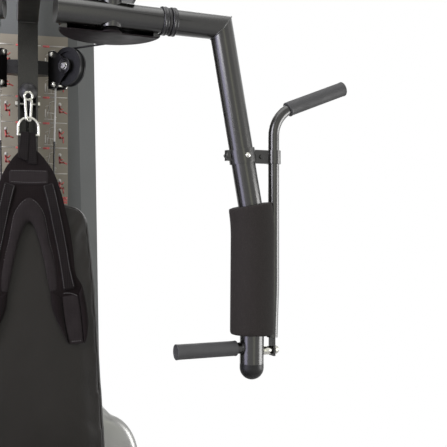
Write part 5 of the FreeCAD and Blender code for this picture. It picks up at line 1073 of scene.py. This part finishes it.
def stitches(line, pitch=0.0055, length=0.0034, radius=0.00055):
    """Grids of a row of stitches along a line: short threads with round ends, each an ellipsoid of 5
    sides."""
    run = run_of(line)
    starts = np.arange(pitch, run[-1] - pitch, pitch)
    ends = [np.stack([np.interp(starts + shift, run, line[:, k]) for k in range(3)], axis=1)
            for shift in (0, length)]
    profile = [(0.0, radius * 0.4), (0.2, radius), (0.8, radius), (1.0, radius * 0.4)]
    return [turned_rings(a, b - a, profile, (0.3, 1.0, 0.2), 5) for a, b in zip(*ends)]


def stitched_edges(band):
    """Rows of stitches along both edges of a band, a tenth of its width in."""
    return [stitch for share in (0.10, 0.90) for stitch in stitches(on_band(*band, share))]


harness_cloth = woven("black nylon cloth over foam", "#120e0e", "#221b1b", 2.0)
lining_cloth = woven("charcoal brushed nylon lining", "#221e1e", "#373232", 1.6, 0.9)
webbing_cloth = woven("black nylon webbing", "#110e0e", "#262121", 2.6, 0.62)
thread = moulded("grey polyester thread", "#5d5b59", "#777572", 0.6, grain_mm=0.6, depth=0.00002)

outer = both_sides(smooth_line(90, (130, 930), (138, 969), (134, 1018), (123, 1067), (108, 1096),
                               (102, 1150), (94, 1205), (83, 1252), (73, 1291), (60, 1332), (42, 1364),
                               (23, 1388), (8, 1398), (0, 1399)))
inner = both_sides(smooth_line(90, (92, 928), (68, 975), (53, 1013), (48, 1057), (38, 1116), (29, 1160),
                               (18, 1197), (8, 1216), (0, 1222)))
body_thick = np.interp((outer[:, 1] + inner[:, 1]) / 2, [0.93, 1.03, 1.07, 1.20, 1.31],
                       [0.007, 0.008, 0.0135, 0.0155, 0.0135])
collar = skin("harness_collar", [padded_band(outer, inner, 0.0, body_thick, 3.2, 0.0006, 30)], harness_cloth,
              "harness")
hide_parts("ab_harness")

# The lining is rolled over the neck's edge and runs down the inside of each arm to the hand loop.
lining_outer = both_sides(smooth_line(80, (66, 1052), (65, 1094), (59, 1130), (47, 1177), (36, 1236),
                                      (22, 1260), (8, 1270), (0, 1272)))
lining_inner = both_sides(smooth_line(80, (48, 1053), (41, 1090), (35, 1124), (27, 1160), (17, 1194),
                                      (8, 1214), (0, 1220)))
lining_thick = np.interp(lining_outer[:, 1], [1.05, 1.10, 1.2, 1.27], [0.0145, 0.0165, 0.0195, 0.0195])
lining = skin("harness_lining", [padded_band(lining_outer, lining_inner, -0.0002, lining_thick, 2.6, 0.0003)],
              lining_cloth, "harness")

# At each hand the collar ends in two side rolls with a loop of lined webbing between them. A seam over the
# loop is given by its start and end in x and z, its points, its arch, its depth and its thread's sizes.
LOOP_SLACK = 0.001
LOOP_SEAMS = (((0.075, 1.049), (0.113, 1.043), 14, 0.004, 0.0122, (0.0042, 0.0030, 0.0008)),
              ((0.094, 0.935), (0.124, 0.936), 10, 0.0, 0.0117, (0.0046, 0.0030, 0.0007)))
rolls, loops, webs, threads = [], [], [], []
loop_inner = smooth_line(40, (75, 1044), (79, 1010), (84, 970), (90, 938), (92, 927))
loop_outer = smooth_line(40, (114, 1046), (119, 1010), (123, 970), (126, 940), (127, 929))
roll_outer = smooth_line(40, (122, 1066), (133, 1020), (137, 970), (134, 944), (129, 929))
roll_inner = smooth_line(40, (49, 1058), (54, 1014), (69, 974), (84, 942), (92, 927))
web_outer = smooth_line(60, (106, 1062), (95, 1110), (87, 1160), (77, 1215), (67, 1260), (56, 1304))
web_inner = smooth_line(60, (78, 1056), (72, 1104), (64, 1152), (53, 1205), (44, 1250), (31, 1296))
for side, sign in SIDES:
    half = (sign, 1)
    loops.append(padded_band(loop_outer * half, loop_inner * half, 0.0030, 0.0085, 4.0, ends=0.004))
    for first, second in ((roll_outer, loop_outer + (LOOP_SLACK, 0)),
                          (loop_inner - (LOOP_SLACK, 0), roll_inner)):
        rolls.append(padded_band(first * half, second * half, 0.0, 0.0165, 2.2, 0.0004, 18))
    web = (web_outer * half, web_inner * half, 0.0125, 0.0052, 6.0)
    webs.append(padded_band(*web, ends=0.003))
    threads += stitched_edges(web)
    for start, end, count, arch, depth, thread_size in LOOP_SEAMS:
        x, z = np.linspace(start, end, count).T
        z = z + arch * np.sin(math.pi * np.linspace(0, 1, count))
        threads += stitches(on_harness(sign * x, z, depth), *thread_size)
    seam = on_band(lining_outer[:79], lining_inner[:79], -0.0002, lining_thick[:79], 2.6, 0.06, 0.0003)
    threads += stitches(seam * (sign, 1, 1), 0.0065, 0.0036, 0.0005)

# The cross band holds both arms together under the straps' ends.
band_x = np.linspace(-0.046, 0.046, 34)
band_top, band_low = (np.stack([band_x, z + bow * np.cos(band_x / 0.03)], axis=1)
                      for z, bow in ((1.335, 0.001), (1.302, -0.002)))
cross_band = (band_top, band_low, 0.0095, 0.0068, 5.0)
threads += stitched_edges(cross_band)

# Each strap goes up the front, round the ring's bar and down behind, and is sewn on itself.
RING_BAR = (0.100, 1.4373)
RING_WIRE = 0.003
STRAP_SLACK = 0.0006
STRAP_THICKNESS = 0.0022
STRAP_TAIL = 0.020
STRAP_LIFT = 0.0045
harness_rise = math.hypot(1.0, HARNESS_SLOPE)
down = np.array((-HARNESS_SLOPE, -1.0)) / harness_rise
outward = np.array((down[1], -down[0]))


def hanging_strap(top_left, top_right, low_left, low_right, turns):
    """Rings of a strap round the ring's bar: down behind it, a half turn over it and down in front, where its
    edges run from the top pair of x to the lower pair of x and z."""
    radius = RING_WIRE + STRAP_SLACK + STRAP_THICKNESS * (turns + 0.5)
    bend = np.linspace(-math.pi / 2, math.pi / 2, 11)
    over = np.array(RING_BAR) + radius * (-np.cos(bend)[:, None] * down + np.sin(bend)[:, None] * outward)
    reach = np.linspace(0, 1, 16)[1:, None]
    run = (RING_BAR[1] - (low_left[1] + low_right[1]) / 2) * harness_rise
    line = np.concatenate([over[0] + reach[::-1] * down * STRAP_TAIL, over,
                           over[-1] + reach * (down * run + outward * STRAP_LIFT)])
    share = np.concatenate([np.zeros(len(line) - len(reach)), reach[:, 0]])
    left, right = top_left + (low_left[0] - top_left) * share, top_right + (low_right[0] - top_right) * share
    tilt = (low_left[1] - low_right[1]) / 2 * share ** 2
    along = unit(np.gradient(line, axis=0))
    across, deep = rounded_square(20, 0.3)
    deep = deep * STRAP_THICKNESS / 2
    x = (left + right)[:, None] / 2 + across * (right - left)[:, None] / 2
    y = line[:, 0, None] + deep * along[:, 1, None] - tilt[:, None] * across * down[0]
    z = line[:, 1, None] - deep * along[:, 0, None] - tilt[:, None] * across * down[1]
    return np.stack([x, y, z], axis=-1)


straps = [hanging_strap(-0.004, 0.018, (-0.002, 1.352), (0.019, 1.356), 0),
          hanging_strap(-0.018, 0.003, (-0.025, 1.358), (-0.003, 1.372), 1)]
for name, grids, material, padded in (
        ("harness_loops", loops, lining_cloth, True),
        ("harness_rolls", rolls, harness_cloth, True),
        ("harness_webbing", webs, webbing_cloth, False),
        ("harness_cross_band", [padded_band(*cross_band, ends=0.004)], lining_cloth, False),
        ("harness_straps", straps, webbing_cloth, False),
        ("harness_stitches", threads, thread, False)):
    piece = skin(name, grids, material, "harness")


# ------------------------------------------------------------
# Lower housing: a shell vacuum-formed from silver-grey ABS round the foot of the stack. Its shoulders sweep
# up to the foot of the shroud and fall away behind, and its front edge is well rounded by the forming.
silver_abs = moulded("silver-grey ABS", "#a2a29f", "#d4d4d1", 0.36, grain_mm=3.0, depth=0.00004, Metallic=0.5)
SHROUD_FOOT_HALF = 0.200
HOUSING_SHOULDER = 0.150
HOUSING_WALL = 0.003
HOUSING_ROUNDING = 0.026
HOUSING_FRONT_FALL = 0.012
HOUSING_REAR_FALL = 0.075
HOUSING_FALL_WIDTH = 0.030
HOUSING_STUB_Y = 0.008
HOUSING_STUB_STEP = 0.006
HOUSING_TOP_X = (0.199, 0.196, 0.190, 0.150, 0.100, 0.050, 0.0)
FRONT_ROWS, EDGE_ROWS, WALL_ROWS = 14, 9, 14


def moulded_shell(low, high):
    """Rows of the shell, from its foot's middle out over the front, round the edge and back along the wall.
    The outline goes up one side, over a quarter ellipse at each shoulder, and down the other; the front is
    the outline scaled about the foot, the edge a quarter circle, and the shoulders fall by a share that
    grows with the way back and with the distance from the shroud, as 3 s^2 - 2 s^3."""
    half, top, foot = high[0], high[2], low[2]
    shoulder = top - HOUSING_SHOULDER
    turn = np.linspace(0, math.pi / 2, 30)
    right = np.concatenate([
        np.stack([np.full(16, half), np.linspace(foot, shoulder, 16)], axis=1),
        np.stack([SHROUD_FOOT_HALF + (half - SHROUD_FOOT_HALF) * np.cos(turn),
                  shoulder + HOUSING_SHOULDER * np.sin(turn)], axis=1)[1:],
        np.stack([HOUSING_TOP_X, np.full(len(HOUSING_TOP_X), top)], axis=1)])
    outline = both_sides(right)
    bend = np.linspace(0, math.pi / 2, EDGE_ROWS)
    share = np.concatenate([np.linspace(0.02, 0.92, FRONT_ROWS), np.ones(EDGE_ROWS + WALL_ROWS)])
    inset = HOUSING_ROUNDING * np.concatenate([np.ones(FRONT_ROWS), 1 - np.sin(bend), np.zeros(WALL_ROWS)])
    back = np.concatenate([np.zeros(FRONT_ROWS), HOUSING_ROUNDING * (1 - np.cos(bend)),
                           np.linspace(HOUSING_ROUNDING, high[1] - low[1], WALL_ROWS + 1)[1:]])
    from_middle = np.abs(outline[:, 0])
    inward = np.stack([-np.sign(outline[:, 0]) * np.minimum(from_middle / half, 1),
                       -np.clip((outline[:, 1] - shoulder) / HOUSING_SHOULDER, 0, 1)], axis=1)
    edge = outline[None] + inset[:, None, None] * inward[None]
    x = share[:, None] * edge[..., 0]
    z = foot + share[:, None] * (edge[..., 1] - foot)
    beyond = np.clip((from_middle - SHROUD_FOOT_HALF) / HOUSING_FALL_WIDTH, 0, 1)[None, :]
    beyond = beyond * beyond * (3 - 2 * beyond)
    under = np.clip((SHROUD_FOOT_HALF - 0.001 - from_middle) / HOUSING_STUB_STEP, 0, 1)[None, :]
    y = low[1] + back[:, None] * (1 - under) + np.minimum(back, HOUSING_STUB_Y)[:, None] * under
    fall = (HOUSING_FRONT_FALL + HOUSING_REAR_FALL * back / back[-1])[:, None] * beyond
    high_up = np.clip((z - foot) / (top - foot), 0, 1) ** 3
    return np.stack([x, y, z - fall * high_up], axis=-1)


rows = moulded_shell(*corners_of("lower_housing"))
index = np.arange(rows[..., 0].size).reshape(rows.shape[:2])
quads = np.stack([index[:-1, :-1], index[:-1, 1:], index[1:, 1:], index[1:, :-1]], axis=-1).reshape(-1, 4)
shell = new_piece("housing_shell", smooth_mesh("housing_shell", rows.reshape(-1, 3), quads.tolist(), 1e-5),
                  silver_abs, "frame")
reshape(shell, "wall", "SOLIDIFY", thickness=HOUSING_WALL, offset=-1.0)
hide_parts("lower_housing")
